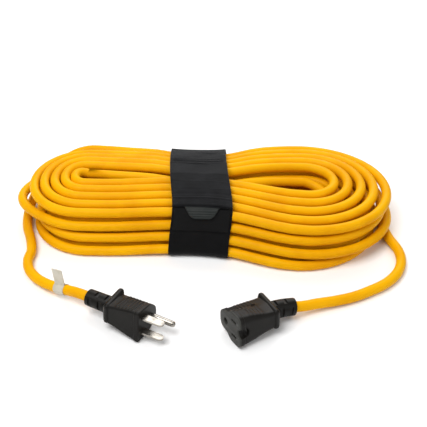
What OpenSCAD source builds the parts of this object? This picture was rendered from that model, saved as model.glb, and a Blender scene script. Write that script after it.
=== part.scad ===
// Outdoor extension cord, wound into a four-layer hank and tied at the waist by a
// hook-and-loop strap, with a moulded plug and connector lying in front of it.
// Millimetres. +X runs along the hank, +Y to its back, +Z up from the table.

/* [Cord] */
// Outer diameter of the jacketed cord
cord_d = 8.2; // [7.8:0.1:8.6]
// Diameter of one insulated core inside the jacket
core_d = 2.7; // [2.2:0.1:3]

/* [Hank] */
// Loops wound in each layer
layer_loops = 5; // [3:1:5]
// Gap between neighbouring strands at the waist
strand_gap = 0.9; // [0.9:0.05:1.3]
// Gap between one layer and the next
layer_gap = 0.9; // [0.9:0.05:1.4]
// Gap between neighbouring strands round the left end
left_gap = 0.7; // [0.65:0.05:1.2]
// Gap between neighbouring strands on the sides of the right end
right_gap = 1.8; // [1:0.1:2.4]
// Gap between neighbouring strands at the tip of the right end
tip_gap = 3.5; // [2:0.1:5]
// Half of the slot between the innermost strands at the waist, centre to centre
waist_slot = 2.6; // [2.6:0.1:5]
// Inner fold radius of the left end
left_fold = 7.6; // [7:0.1:12]
// Inner fold radius of the right end, across the hank
right_fold = 14.5; // [10:0.5:20]
// Inner fold radius of the right end, along the hank
right_nose = 15.8; // [12:0.1:22]
// Distance from the waist to the centre of the left folds
left_reach = 105; // [90:1:120]
// Distance from the waist to the centre of the right folds
right_reach = 85.5; // [80:0.5:110]
// Extra height of the innermost loop of the top layer
crown = 7.5; // [3:0.5:9]
// How far each layer sits behind the one below it
lean = 4; // [2:0.5:4.5]
// How far each layer's left folds stand in from the layer above
left_step = 2.8; // [1:0.1:3.5]
// How far the bottom layer's right folds stand in from the layers above
right_step = 8; // [4:1:10]
// How far one stray loop sticks out at the left end
stray = 10; // [0:1:12]

/* [Strap] */
// Width of the hook-and-loop strap
strap_w = 50; // [38:1:52]
// Thickness of the strap webbing
strap_t = 1.6; // [1.2:0.1:2]
// Thickness of the hook tape and of the loop tape
tape_t = 0.9; // [0.6:0.1:1.2]
// Place of the strap's middle along the hank
strap_x = -4; // [-8:1:4]
// Gap between the strap and the strands that it holds
wrap_gap = 0.4; // [0.3:0.05:0.6]
// Gap between the closed flap and the tape below it
flap_gap = 0.3; // [0.3:0.05:0.5]
// Angle of the flap's free edge round the front shoulder, from straight up
hem_angle = 14; // [0:1:20]
// Length of the flap from its free edge back to its fold
flap_reach = 62; // [50:1:68]
// Depth of the folded hem along the flap's free edge
hem_depth = 9; // [6:1:12]
// Thickness that the folded hem adds
hem_t = 0.5; // [0.3:0.1:0.8]
// Width of the pull tab under the hem
tab_w = 31; // [20:1:34]
// Width of the pull tab at its free end
tab_end_w = 16; // [10:1:20]
// Thickness of the pull tab
tab_t = 1.2; // [0.9:0.1:1.4]
// Angle that the pull tab covers round the front shoulder
tab_sweep = 46; // [34:1:50]
// Straight length of the pull tab below the shoulder
tab_drop = 4; // [3:1:10]
// Inset of the hook tape from the flap's sides
tape_inset = 2; // [1:0.5:4]
// Length of one stitch
stitch_len = 2.6; // [2:0.1:3]
// Thickness of the sewing thread
thread_d = 0.5; // [0.4:0.1:0.6]
// Stitches in one row across the strap
stitch_count = 13; // [9:1:13]

/* [Plug and connector bodies] */
// Width of the plug over its blades, at the face
plug_w = 27; // [26:0.5:30]
// Width of the plug behind its grip
plug_neck_w = 18.5; // [18:0.5:24]
// Depth of the plug, from the flat side to the ground side
plug_depth = 26; // [25:0.5:28]
// Width of the finger flange on the ground side of a body
wing_w = 17; // [14:0.5:18]
// Length of the plug body in front of the collar
plug_len = 31; // [30:1:38]
// Width of the connector over its slots
conn_w = 28; // [27:0.5:31]
// Width of the connector behind its grip
conn_neck_w = 20; // [19:0.5:26]
// Depth of the connector, from the flat side to the ground side
conn_depth = 29; // [28:0.5:31]
// Length of the connector body in front of the collar
conn_len = 35; // [34:1:42]
// Thickness of the finger flange at the rear of a body
flange_t = 4; // [3:0.5:5]
// Radius of the corners on the flat side
corner_r = 2.5; // [1.5:0.5:3.5]
// Length of the strain relief collar
collar_len = 25; // [22:1:26]
// Outer diameter of the strain relief collar
collar_d = 14; // [13.5:0.1:15]
// Depth of the windows in the collar
window_depth = 1.5; // [0.8:0.1:1.8]
// Clearance between parts that are moulded together
mould_gap = 0.1; // [0.05:0.05:0.15]

/* [Contacts] */
// Distance between the two flat blades, centre to centre
blade_pitch = 12.7; // [12.5:0.1:12.9]
// Distance from the blade line to the ground pin
ground_offset = 11.9; // [11.7:0.1:12.1]
// Width of a flat blade
blade_w = 6.35; // [6.2:0.05:6.5]
// Thickness of a flat blade
blade_t = 1.5; // [1.4:0.05:1.6]
// Length of a flat blade in front of the face
blade_len = 17.5; // [16:0.5:18.5]
// Diameter of the round ground pin
pin_d = 4.76; // [4.6:0.02:4.9]
// Length of the ground pin in front of the face
pin_len = 20.6; // [19.5:0.1:21.5]
// Radial clearance of the ground pin in its socket
socket_gap = 0.24; // [0.15:0.01:0.35]
// Length of the contacts' tails inside the plug
tail_len = 16; // [14:0.5:17]
// Depth of the entry holes in the connector face
entry_depth = 8; // [6:0.5:10]
// Depth of the connector's contact carrier
carrier_len = 22.5; // [20:0.5:23]
// Sheet thickness of the spring contacts
spring_t = 0.6; // [0.5:0.05:0.7]

/* [Label] */
// Length of the label along the cord
label_len = 10; // [8:0.5:11]
// Height of the label's flag above the cord
flag_h = 12; // [8:0.5:14]
// Thickness of the label film
film_t = 0.4; // [0.3:0.05:0.5]

/* [Hidden] */
$fn = 48;
fine = 0.01;
centre = [2.1, -2.5, 0];            // sets the middle of the hank's box over the origin

jacket_yellow = "gold";
moulding_black = "#2b2926";
carrier_grey = "#454543";
web_black = "#1d1e1f";
tab_grey = "#3a3f3b";
contact_tin = "silver";
contact_brass = "goldenrod";
core_white = "#f2f2ee";
label_white = "whitesmoke";

// ---- winding -----------------------------------------------------------------
// A turn is counted from the middle of the front run: 0.25 is the right tip, 0.5
// the middle of the back run and 0.75 the left tip. Loops spiral in and out by
// turns, and the cord climbs a layer along the back run where they reverse.
layers = 4;
r_cord = cord_d / 2;
step_waist = cord_d + strand_gap;
step_left = cord_d + left_gap;
step_right = cord_d + right_gap;
step_tip = cord_d + tip_gap;
layer_rise = cord_d + layer_gap;
waist_half = waist_slot + layer_loops * step_waist;
lift = wrap_gap + strap_t;          // the waist rides on the strap's underside
first_turn = 0.25;                  // the connector's end joins at the right tip
last_turn = layers * layer_loops + 0.79;
rings_run = 2;                      // rings on half a run
rings_fold = 4;                     // rings on half a fold
rings_quarter = rings_run + rings_fold;
run_split = 0.35;                   // place of the ring within half a run

function clamp01(t) = min(1, max(0, t));
function ease(t) = let (u = clamp01(t)) u * u * (3 - 2 * u);
function wrapped(s) = s - floor(s);
function triangle(u) = let (m = u - 2 * layer_loops * floor(u / (2 * layer_loops)))
    m <= layer_loops ? m : 2 * layer_loops - m;
// Strands between the outer edge and the cord at turn s
function strands_in(s) =
    s > layers * layer_loops + 0.5 ? -ease((s - layers * layer_loops - 0.54) / 0.09)
    : s < 0.5 ? s - 0.5 : triangle(s - 0.5);
// Layer of the cord at turn s, from 0 at the bottom
function layer_at(s) =
    ease((s - layer_loops - 0.25) * 2) + ease((s - 2 * layer_loops - 0.25) * 2)
    + ease((s - 3 * layer_loops - 0.25) * 2)
    - (layers - 1) * ease((s - layers * layer_loops - 0.57) / 0.21);
// Half width of the hank at a share g of the way from the waist to a fold
function half_width(n, g, fold, step) =
    (waist_half - n * step_waist) * (1 - g) + (fold + (layer_loops - n) * step) * g;
// Point on half a loop; q runs from 0 at the waist to 1 at the tip
function half_loop(n, q, reach, fold_x, fold_y, step_x, step_y) =
    let (ax = fold_x + (layer_loops - n) * step_x, ay = fold_y + (layer_loops - n) * step_y,
         k = q * rings_quarter)
    k <= rings_run
        ? let (part = k < 1 ? k * run_split : run_split + (k - 1) * (1 - run_split),
               g = (1 - cos(180 * part)) / 2)
          [reach * part, half_width(n, g, fold_y, step_y)]
        : let (a = (k - rings_run) / rings_fold * 90)
          [reach + ax * sin(a), ay * cos(a)];
function crown_at(n, level) =
    level / (layers - 1) * crown * (1 - pow(1 - clamp01(n / layer_loops), 2));
function height_at(x, n, level) = r_cord + lift * exp(-pow(x / 60, 4))
    + level * layer_rise + crown_at(n, level);
function hank_point(s) =
    let (n = strands_in(s), level = layer_at(s), f = wrapped(s),
         right = f < 0.5,
         q = 1 - abs(f - (right ? 0.25 : 0.75)) / 0.25,
         flat = right
            ? half_loop(n, q, right_reach - right_step * max(0, 1 - level),
                        right_nose, right_fold, step_tip, step_right)
            : half_loop(n, q, left_reach - left_step * (layers - 1 - level),
                        left_fold, left_fold, step_left, step_left),
         out = stray * exp(-pow((s - 2 * layer_loops - 0.77) / 0.06, 2)),
         x = (right ? flat.x : -flat.x) - out,
         front = f < 0.25 || f >= 0.75)
    [x, (front ? -flat.y : flat.y) + lean * (level - 1.5), height_at(x, n, level)];

ring_step = 0.25 / rings_quarter;
wound = [for (i = [round(first_turn / ring_step) : round(last_turn / ring_step)])
    hank_point(i * ring_step)];
function unit(v) = v / norm(v);
// Level direction of the winding at turn s
function run_dir(s) = let (v = hank_point(s + fine) - hank_point(s - fine)) unit([v.x, v.y, 0]);
start_dir = -run_dir(first_turn);
end_dir = run_dir(last_turn);
hank_start = wound[0] + start_dir * cord_d;
hank_end = wound[len(wound) - 1] + end_dir * cord_d;
hank_path = concat([hank_start], wound, [hank_end]);

// Least distance between parts of the hank that aren't next to each other
function to_segment(p, a, b) = let (ab = b - a, t = clamp01((p - a) * ab / (ab * ab)))
    norm(p - a - t * ab);
function least_gap(path) = min([for (i = [0 : len(path) - 1])
    for (j = [i + 4 : 1 : len(path) - 2])
        if (abs(path[i].x - path[j].x) < 60) to_segment(path[i], path[j], path[j + 1])]) - cord_d;
function run_length(path, i = 0) = i >= len(path) - 1 ? 0
    : norm(path[i + 1] - path[i]) + run_length(path, i + 1);

// ---- places of the plug and the connector ---------------------------------------
// Each lies rolled towards its ground side, and the connector's face is raised.
plug_at = [-36.1, -142.6, plug_w / 2 - 1.4];        // middle of the plug's face
plug_heading = -25.4;
plug_roll = -8;
conn_at = [25, -145, conn_w / 2 - 1.6];             // middle of the connector's face
conn_heading = -149;
conn_roll = 9;
conn_raise = 3;
function heading(a, raise = 0) = [cos(a) * cos(raise), sin(a) * cos(raise), sin(raise)];
plug_dir = heading(plug_heading);
conn_dir = heading(conn_heading, conn_raise);
plug_rear = plug_at - (plug_len + collar_len - 2) * plug_dir;
conn_rear = conn_at - (conn_len + collar_len - 2) * conn_dir;

// ---- routes of the two free stretches, chosen by hand -----------------------------
table_z = r_cord;
plug_bend = [[-146.2, -55.5, table_z], [-144.1, -68.5, table_z], [-140, -80.5, table_z],
    [-132.2, -91, table_z + 0.3], [-123, -98.4, table_z + 1.3],
    [-114, -103.8, table_z + 2.6], [-102, -110, table_z + 5]];
conn_bend = [[160.5, -30, table_z], [163.8, -41, table_z], [164.4, -52.5, table_z],
    [161.6, -64, table_z], [155, -75.5, table_z], [145.5, -85.2, table_z],
    [134, -93, table_z], [120.5, -100.5, table_z + 0.5], [105.5, -107.2, table_z + 1.7],
    [93, -112, table_z + 3.1]];
plug_route = concat([hank_end, hank_end + cord_d * end_dir], plug_bend,
    [plug_rear - cord_d * plug_dir, plug_rear]);
conn_route = concat([hank_start, hank_start + cord_d * start_dir], conn_bend,
    [conn_rear - cord_d * conn_dir, conn_rear]);
label_leg = 7;                      // the label sits on this leg of the plug's route

// ---- strap section, in the plane across the hank ----------------------------------
// Places of the strands that the strap bears on, at one of its sides
function bulge(x) = x > 0
    ? (half_width(0, (1 - cos(180 * run_split)) / 2, right_fold, step_right) - waist_half)
        * x / (right_reach - right_step) / run_split
    : (half_width(0, (1 - cos(180 * run_split)) / 2, left_fold, step_left) - waist_half)
        * -x / (left_reach - left_step * (layers - 1)) / run_split;
swell = max(bulge(strap_x + strap_w / 2), bulge(strap_x - strap_w / 2));
function strand_yz(side, n, level) =
    [side * (waist_half + swell - n * step_waist) + lean * (level - 1.5),
     r_cord + lift + level * layer_rise + crown_at(n, level)];
top_layer = layers - 1;
wrap_centres = concat(
    [strand_yz(-1, 0.5, 0), strand_yz(1, 0, 0)],
    [for (n = [0 : layer_loops - 1]) strand_yz(1, n, top_layer)],
    [for (n = [layer_loops - 0.5 : -1 : 0.5]) strand_yz(-1, n, top_layer)]);
wrap_r = r_cord + wrap_gap;
band_r = wrap_r + strap_t;
loop_r = band_r + tape_t;
hook_in = loop_r + flap_gap;
hook_out = hook_in + tape_t;
flap_r = hook_out + strap_t;
function edge_angle(c, i) = let (a = c[i % len(c)], b = c[(i + 1) % len(c)])
    atan2(b.y - a.y, b.x - a.x) - 90;
// Outline at distance r round equal circles on a convex chain of centres
function wrapped_outline(c, r) = [for (i = [0 : len(c) - 1])
    let (a0 = edge_angle(c, i + len(c) - 1), turn = (edge_angle(c, i) - a0 + 720) % 360,
         steps = max(1, ceil(turn / 15)))
    for (k = [0 : steps]) c[i] + r * [cos(a0 + turn * k / steps), sin(a0 + turn * k / steps)]];
shoulder = wrap_centres[len(wrap_centres) - 1];       // top strand at the front
function round_shoulder(r, angle) = shoulder + r * [-sin(angle), cos(angle)];
hem_at = round_shoulder(flap_r, hem_angle);
fold_y = hem_at.x + flap_reach;                        // the flap folds up here
// Height of an outline round the strap over the place y
function outline_z(r, y) = let (c = wrap_centres) max(concat(
    [for (p = c) if (abs(y - p.x) < r) p.y + sqrt(r * r - pow(y - p.x, 2))],
    [for (i = [1 : len(c) - 2]) let (a = edge_angle(c, i), out = r * [cos(a), sin(a)],
            p = c[i] + out, q = c[i + 1] + out)
        if (q.x <= y && y <= p.x) p.y + (q.y - p.y) * (y - p.x) / (q.x - p.x)]));
fold_z = outline_z(flap_r, fold_y);
back_end = wrap_centres[1] + flap_r * [1, 0];          // where the back panel could reach
seam_h = 12;                        // the panel's seam stands this far above it
tab_r = hook_in + tab_t;
tab_from = hem_angle + 2;

echo(least_gap_of_the_hank = least_gap(hank_path), hank_length = run_length(hank_path),
    plug_tail_length = run_length(plug_route), connector_tail_length = run_length(conn_route));
echo(fold = [strap_x, fold_y, fold_z], tab_hinge = [strap_x, round_shoulder(tab_r, tab_from)],
    plug_rear = plug_rear, plug_dir = plug_dir, conn_rear = conn_rear, conn_dir = conn_dir,
    hank_start = hank_start, hank_end = hank_end);

// ---- shared shapes ---------------------------------------------------------------
// One tube swept along a path, with a corner of its section straight down
module tube(path, sides) {
    n = len(path);
    points = [for (i = [0 : n - 1])
        let (fore = unit(path[min(i + 1, n - 1)] - path[min(i, n - 2)]),
             aft = unit(path[max(i, 1)] - path[max(i - 1, 0)]),
             t = unit(fore + aft),
             side = unit(cross(t, [0, 0, 1])), up = cross(side, t))
        for (k = [0 : sides - 1]) let (a = 360 * k / sides - 90)
            path[i] + r_cord * (cos(a) * side + sin(a) * up)];
    walls = [for (i = [0 : n - 2]) for (k = [0 : sides - 1])
        let (a = i * sides + k, b = i * sides + (k + 1) % sides)
        each [[a, b, b + sides], [a, b + sides, a + sides]]];
    last = (n - 1) * sides;
    caps = [for (k = [1 : sides - 2]) each [[0, k + 1, k], [last, last + k, last + k + 1]]];
    translate(centre) polyhedron(points, concat(walls, caps));
}

// A profile drawn across the hank, given a width along it
module across(width) {
    translate(centre + [strap_x - width / 2, 0, 0]) rotate([90, 0, 90])
        linear_extrude(width) children();
}

// The part of a strap layer between two radii
module strap_layer(r_in, r_out) {
    difference() {
        polygon(wrapped_outline(wrap_centres, r_out));
        polygon(wrapped_outline(wrap_centres, r_in));
    }
}

// A straight bar between two points
module rod(a, b, d) {
    v = b - a;
    translate(a) rotate([0, acos(v.z / norm(v)), atan2(v.y, v.x)]) cylinder(h = norm(v), d = d);
}

module at_plug() {
    translate(centre + plug_at) rotate([plug_roll, 0, plug_heading]) children();
}

module at_connector() {
    translate(centre + conn_at) rotate([conn_roll, -conn_raise, conn_heading]) children();
}

// A thin slice of a moulded body: flat on one side, with a lobe round the ground and
// a shoulder on either side of it, and drawn in all round by the inset
module slice(x, width, depth, lobe_r, inset = 0, shoulder = 0, thick = fine) {
    side = depth / 2 - inset;
    r = max(0.5, corner_r - inset);
    translate([x, 0, 0]) rotate([0, 90, 0]) {
        if (shoulder > 0) for (w = [-1, 1])
            translate([w * (width / 2 - inset - r - shoulder), shoulder_y, 0])
                cylinder(h = thick, r = r, $fn = 32);
        for (w = [-1, 1]) translate([w * (width / 2 - inset - r), -side + r, 0])
            cylinder(h = thick, r = r, $fn = 32);
        translate([0, depth / 2 - lobe_r, 0]) cylinder(h = thick, r = lobe_r - inset, $fn = 32);
    }
}

shoulder_y = 2.5;                   // place of the shoulders across a body

// The finger flange behind a body, as wide as the neck on the flat side and standing
// out as a wing beside the lobe on the ground side
module flange(body_len, neck_w, depth, lobe_r) {
    r = corner_r;
    hull() {
        slice(-body_len, neck_w, depth, lobe_r, shell_wall);
        for (side = [-1, 1], w = [-1, 1])
            translate([-body_len + flange_t / 2, side * (depth / 2 + flange_lip - r),
                w * ((side < 0 ? neck_w / 2 + flange_lip : wing_w / 2) - r)])
            rotate([0, 90, 0]) cylinder(h = flange_t / 2, r = r, $fn = 32);
    }
}

// Recessed windows round a strain relief collar whose rear face is at x
module collar_windows(x) {
    window_l = 2.8;
    window_w = 8;
    pitch = (collar_len - 6) / 4;
    for (k = [0 : 3]) for (w = [0, 180]) rotate([w + (k % 2) * 90, 0, 0])
        translate([x + 3.4 + k * pitch, collar_d / 2 - window_depth, -window_w / 2])
            cube([window_l, collar_d, window_w]);
}

// ---- cord -----------------------------------------------------------------------
module hank() {
    color(jacket_yellow) tube(hank_path, 6);
}

module plug_tail() {
    color(jacket_yellow) tube(plug_route, 10);
}

module connector_tail() {
    color(jacket_yellow) tube(conn_route, 10);
}

// A sleeve round the cord with a double flag standing on it
module label_flag() {
    a = plug_route[label_leg];
    b = plug_route[label_leg + 1];
    v = b - a;
    sleeve_in = cord_d + 0.3;
    sleeve_out = sleeve_in + 2 * film_t;
    color(label_white) translate(centre + (a + b) / 2)
        rotate([0, -asin(v.z / norm(v)), atan2(v.y, v.x)]) translate([-label_len / 2, 0, 0])
        difference() {
            union() {
                rotate([0, 90, 0]) cylinder(h = label_len, d = sleeve_out);
                translate([0, -film_t, 0]) cube([label_len, 2 * film_t, sleeve_out / 2 + flag_h]);
            }
            translate([-1, 0, 0]) rotate([0, 90, 0]) cylinder(h = label_len + 2, d = sleeve_in);
        }
}

// ---- strap ----------------------------------------------------------------------
module strap_band() {
    color(web_black) across(strap_w) strap_layer(wrap_r, band_r);
}

// Soft tape sewn on the band, from the front shoulder back over the top
module strap_loop_tape() {
    color(web_black) across(strap_w - 2 * tape_inset) intersection() {
        strap_layer(band_r, loop_r);
        translate([shoulder.x - 40, shoulder.y - 20]) square([200, 60]);
    }
}

// The rest of the outer turn, doubled and sewn to the band behind the fold
module strap_back_panel() {
    from_y = fold_y + flap_gap;
    color(web_black) across(strap_w) intersection() {
        strap_layer(loop_r, flap_r);
        translate([from_y, back_end.y + seam_h]) square([100, 60]);
    }
}

// Region of the section between the hem and the fold
module flap_region(from_angle) {
    far = 60;
    polygon([shoulder, shoulder + far * [-sin(from_angle), cos(from_angle)],
        [fold_y, shoulder.y + far], [fold_y, shoulder.y]]);
}

module strap_flap() {
    color(web_black) across(strap_w) intersection() {
        strap_layer(hook_out, flap_r);
        flap_region(hem_angle);
    }
}

// Hook tape sewn under the flap
module strap_hook_tape() {
    color(web_black) across(strap_w - 2 * tape_inset) intersection() {
        strap_layer(hook_in, hook_out);
        flap_region(hem_angle);
    }
}

// The flap's free edge, folded over and sewn
module flap_hem() {
    color(web_black) across(strap_w) intersection() {
        strap_layer(flap_r, flap_r + hem_t);
        flap_region(hem_angle);
        translate([hem_at.x - 5, 0]) square([hem_depth + 5, 90]);
    }
}

// A row of stitches across the strap, lying on a layer of radius r at the place y
module stitch_row(y, r, count) {
    pitch = (strap_w - 8) / count;
    z = outline_z(r, y);
    slope = atan((outline_z(r, y + 0.5) - outline_z(r, y - 0.5)));
    for (i = [0 : count - 1])
        translate(centre + [strap_x - (strap_w - 8) / 2 + (i + 0.5) * pitch - stitch_len / 2, y, z])
            rotate([slope, 0, 0]) translate([0, -thread_d / 2, 0])
            cube([stitch_len, thread_d, thread_d / 2]);
}

module hem_stitches() {
    color(tab_grey) for (at = [0.3, 0.8])
        stitch_row(hem_at.x + hem_depth * at, flap_r + hem_t, stitch_count);
}

module back_stitches() {
    color(tab_grey) for (at = [4, 8]) stitch_row(fold_y + at, flap_r, stitch_count);
}

// A tongue that curls over the front shoulder and narrows to a round end
module pull_tab() {
    end_angle = tab_from + tab_sweep;
    end_r = 4;
    down = [-cos(end_angle), -sin(end_angle)];
    function on(r, a) = round_shoulder(r, a);
    steps = 6;
    inner = [for (k = [0 : steps]) on(hook_in, tab_from + tab_sweep * k / steps)];
    outer = [for (k = [steps : -1 : 0]) on(tab_r, tab_from + tab_sweep * k / steps)];
    ends = [on(hook_in, end_angle) + tab_drop * down, on(tab_r, end_angle) + tab_drop * down];
    top = outer[steps].y;
    low = min(ends[0].y, ends[1].y) - fine;
    color(tab_grey) intersection() {
        across(tab_w + 1) polygon(concat(inner, ends, outer));
        translate(centre + [strap_x, shoulder.x + 30, 0]) rotate([90, 0, 0]) linear_extrude(60) hull() {
            translate([-tab_w / 2, top]) square([tab_w, 1]);
            for (side = [-1, 1]) translate([side * (tab_end_w / 2 - end_r), low + end_r])
                circle(end_r, $fn = 32);
        }
    }
}

// ---- plug -----------------------------------------------------------------------
// In their own frame the parts face +X, with the blade line on one side of the
// cord's axis and the ground pin on the other.
blade_y = -ground_offset / 2;
ground_y = ground_offset / 2;
barrel_d = 3.4;
shank_d = 4;                        // the ground pin's shank inside the plug
face_wall = 3;
shell_wall = 2;
room_wall = 1.6;                    // wall behind the room for the cores
form_back = 1.2;                    // the body's sides run this far into the flange
flange_lip = 0.5;                   // the flange stands this proud of the flat side
jacket_reach = collar_len - 1.5;    // the jacket's end inside a collar
plug_lobe = 6.8;
plug_shoulder = 1.8;                // the shoulders stand this far in from the sides
core_back = 9;                      // rear face of the inner moulding, behind the face
jacket_in = cord_d + 2 * mould_gap;
// Where the three cores leave the jacket, around its axis
function core_exit(x, k) = [x, 2.1 * cos(120 * k), 2.1 * sin(120 * k)];

// The plug between two places, drawn in by an inset; it widens towards the face
module plug_form(x0, x1, inset = 0) {
    hull() for (x = [x0, x1 - fine])
        slice(x, plug_w + (plug_neck_w - plug_w) * -x / plug_len, plug_depth, plug_lobe,
            inset, plug_shoulder);
}

// Openings for the two blades and the ground pin, from x0 to x1
module contact_openings(x0, x1) {
    for (w = [-1, 1]) translate([x0, blade_y - blade_w / 2 - mould_gap,
            w * blade_pitch / 2 - blade_t / 2 - mould_gap])
        cube([x1 - x0, blade_w + 2 * mould_gap, blade_t + 2 * mould_gap]);
    translate([x0, ground_y, 0]) rotate([0, 90, 0])
        cylinder(h = x1 - x0, d = pin_d + 2 * mould_gap);
}

module plug_body() {
    color(moulding_black) at_plug() difference() {
        union() {
            plug_form(-plug_len + form_back, 0);
            flange(plug_len, plug_neck_w, plug_depth, plug_lobe);
            translate([-plug_len - collar_len + 2, 0, 0]) rotate([0, 90, 0])
                cylinder(h = collar_len + 1, d1 = collar_d - 0.8, d2 = collar_d);
        }
        collar_windows(-plug_len - collar_len + 2);
        translate([-plug_len - collar_len, 0, 0]) rotate([0, 90, 0])
            cylinder(h = collar_len + 4, d = jacket_in);
        plug_form(-plug_len + room_wall, -face_wall, shell_wall);
        contact_openings(-face_wall - 1, 1);
    }
}

// Inner moulding that holds the three contacts in line
module plug_core() {
    color(carrier_grey) at_plug() difference() {
        plug_form(-core_back, -face_wall - mould_gap, shell_wall + mould_gap);
        contact_openings(-core_back - 1, 0);
    }
}

// A flat blade with a rounded tip and a crimp barrel on its tail
module blade(side) {
    z = side * blade_pitch / 2;
    tip_r = blade_w / 2;
    color(contact_tin) at_plug() translate([0, blade_y, z]) {
        translate([-tail_len + 4, -blade_w / 2, -blade_t / 2])
            cube([tail_len - 4 + blade_len - tip_r, blade_w, blade_t]);
        translate([blade_len - tip_r, 0, -blade_t / 2]) cylinder(h = blade_t, r = tip_r);
        translate([-tail_len - 1, 0, 0]) rotate([0, 90, 0]) cylinder(h = 5.2, d = barrel_d);
    }
}

module line_blade() { blade(-1); }
module neutral_blade() { blade(1); }

// The round ground pin, with a domed tip
module ground_pin() {
    color(contact_tin) at_plug() translate([0, ground_y, 0]) {
        translate([-tail_len, 0, 0]) rotate([0, 90, 0]) cylinder(h = tail_len, d = shank_d);
        translate([-mould_gap, 0, 0]) rotate([0, 90, 0])
            cylinder(h = mould_gap + pin_len - pin_d / 2, d = pin_d);
        translate([pin_len - pin_d / 2, 0, 0]) sphere(d = pin_d);
    }
}

module plug_jacket_end() {
    color(jacket_yellow) at_plug() translate([-plug_len - collar_len + 2, 0, 0])
        rotate([0, 90, 0]) cylinder(h = jacket_reach, d = cord_d);
}

module plug_wire(k, target) {
    color(core_white) at_plug() rod(core_exit(-plug_len + 1.8, k), target, core_d);
}

wire_end = -tail_len - 1.5;
module plug_line_wire() { plug_wire(2, [wire_end, blade_y, -blade_pitch / 2]); }
module plug_neutral_wire() { plug_wire(1, [wire_end, blade_y, blade_pitch / 2]); }
module plug_ground_wire() { plug_wire(0, [wire_end + 1, ground_y, 0]); }

// ---- connector --------------------------------------------------------------------
slot_y = ground_offset / 2;
hole_y = -ground_offset / 2;
conn_lobe = 7.7;
spring_gap = blade_t - 0.2;
spring_w = blade_w + 0.4;
spring_h = spring_gap + 2 * spring_t;
spring_len = carrier_len - entry_depth;
sleeve_d = pin_d + 2 * spring_t + 0.1;
bridge_t = 0.6;                     // half thickness of the bridge that joins two leaves
barrel_len = 3;                     // crimp barrel behind a spring contact

// The connector between two places; its ground side lies at -Y
module conn_form(x0, x1, inset = 0) {
    mirror([0, 1, 0]) hull() for (x = [x0, x1 - fine])
        slice(x, conn_w + (conn_neck_w - conn_w) * -x / conn_len, conn_depth, conn_lobe, inset);
}

module connector_body() {
    notch_d = 6;
    notch_len = 13;
    color(moulding_black) at_connector() difference() {
        union() {
            conn_form(-conn_len + form_back, 0);
            mirror([0, 1, 0]) flange(conn_len, conn_neck_w, conn_depth, conn_lobe);
            translate([-conn_len - collar_len + 2, 0, 0]) rotate([0, 90, 0])
                cylinder(h = collar_len + 1, d1 = collar_d - 0.4, d2 = collar_d + 0.4);
        }
        collar_windows(-conn_len - collar_len + 2);
        translate([-conn_len - collar_len, 0, 0]) rotate([0, 90, 0])
            cylinder(h = collar_len + 4, d = jacket_in);
        conn_form(-conn_len + room_wall, 1, shell_wall);
        translate([-notch_len, (conn_depth + notch_d) / 2 - 1.4, 0]) rotate([0, 90, 0])
            cylinder(h = notch_len + 1, d = notch_d);
    }
}

// Contact carrier; its front is the connector's face
module connector_carrier() {
    color(carrier_grey) at_connector() difference() {
        conn_form(-carrier_len, 0, shell_wall + mould_gap);
        for (w = [-1, 1]) translate([0, slot_y, w * blade_pitch / 2]) {
            translate([-entry_depth - 1, -blade_w / 2 - 0.3, -blade_t / 2 - 0.2])
                cube([entry_depth + 2, blade_w + 0.6, blade_t + 0.4]);
            translate([-carrier_len - 1, -spring_w / 2 - mould_gap, -spring_h / 2 - mould_gap])
                cube([spring_len + 1, spring_w + 2 * mould_gap, spring_h + 2 * mould_gap]);
        }
        translate([-entry_depth - 1, hole_y, 0]) rotate([0, 90, 0])
            cylinder(h = entry_depth + 2, d = pin_d + 2 * socket_gap);
        translate([-carrier_len - 1, hole_y, 0]) rotate([0, 90, 0])
            cylinder(h = spring_len + 1, d = sleeve_d + 2 * mould_gap);
    }
}

// Two spring leaves on a bridge, with a crimp barrel behind
module flat_contact(side) {
    color(contact_brass) at_connector()
        translate([-carrier_len, slot_y, side * blade_pitch / 2]) {
        for (w = [-1, 1]) translate([0, -spring_w / 2, w > 0 ? spring_gap / 2 : -spring_h / 2])
            cube([spring_len - 0.3, spring_w, spring_t]);
        translate([-bridge_t, -spring_w / 2, -spring_h / 2])
            cube([2 * bridge_t, spring_w, spring_h]);
        translate([-barrel_len, 0, 0]) rotate([0, 90, 0])
            cylinder(h = barrel_len - bridge_t / 2, d = barrel_d);
    }
}

module line_contact() { flat_contact(1); }
module neutral_contact() { flat_contact(-1); }

// A sleeve for the ground pin, split on two sides
module ground_contact() {
    color(contact_brass) at_connector() translate([-carrier_len, hole_y, 0]) {
        difference() {
            rotate([0, 90, 0]) cylinder(h = spring_len - 0.3, d = sleeve_d);
            translate([2, 0, 0]) rotate([0, 90, 0]) cylinder(h = spring_len, d = pin_d + 0.1);
            translate([4, -5, -0.5]) cube([spring_len, 10, 1]);
        }
        translate([-barrel_len, 0, 0]) rotate([0, 90, 0])
            cylinder(h = barrel_len + bridge_t, d = barrel_d);
    }
}

module connector_jacket_end() {
    color(jacket_yellow) at_connector() translate([-conn_len - collar_len + 2, 0, 0])
        rotate([0, 90, 0]) cylinder(h = jacket_reach, d = cord_d);
}

module connector_wire(k, target) {
    start = core_exit(-conn_len + 1.8, k);
    color(core_white) at_connector() rod([start.x, -start.y, start.z], target, core_d);
}

barrel_back = -carrier_len - barrel_len - 1.1;
module connector_line_wire() { connector_wire(1, [barrel_back, slot_y, blade_pitch / 2]); }
module connector_neutral_wire() { connector_wire(2, [barrel_back, slot_y, -blade_pitch / 2]); }
module connector_ground_wire() { connector_wire(0, [barrel_back, hole_y, 0]); }

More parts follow.
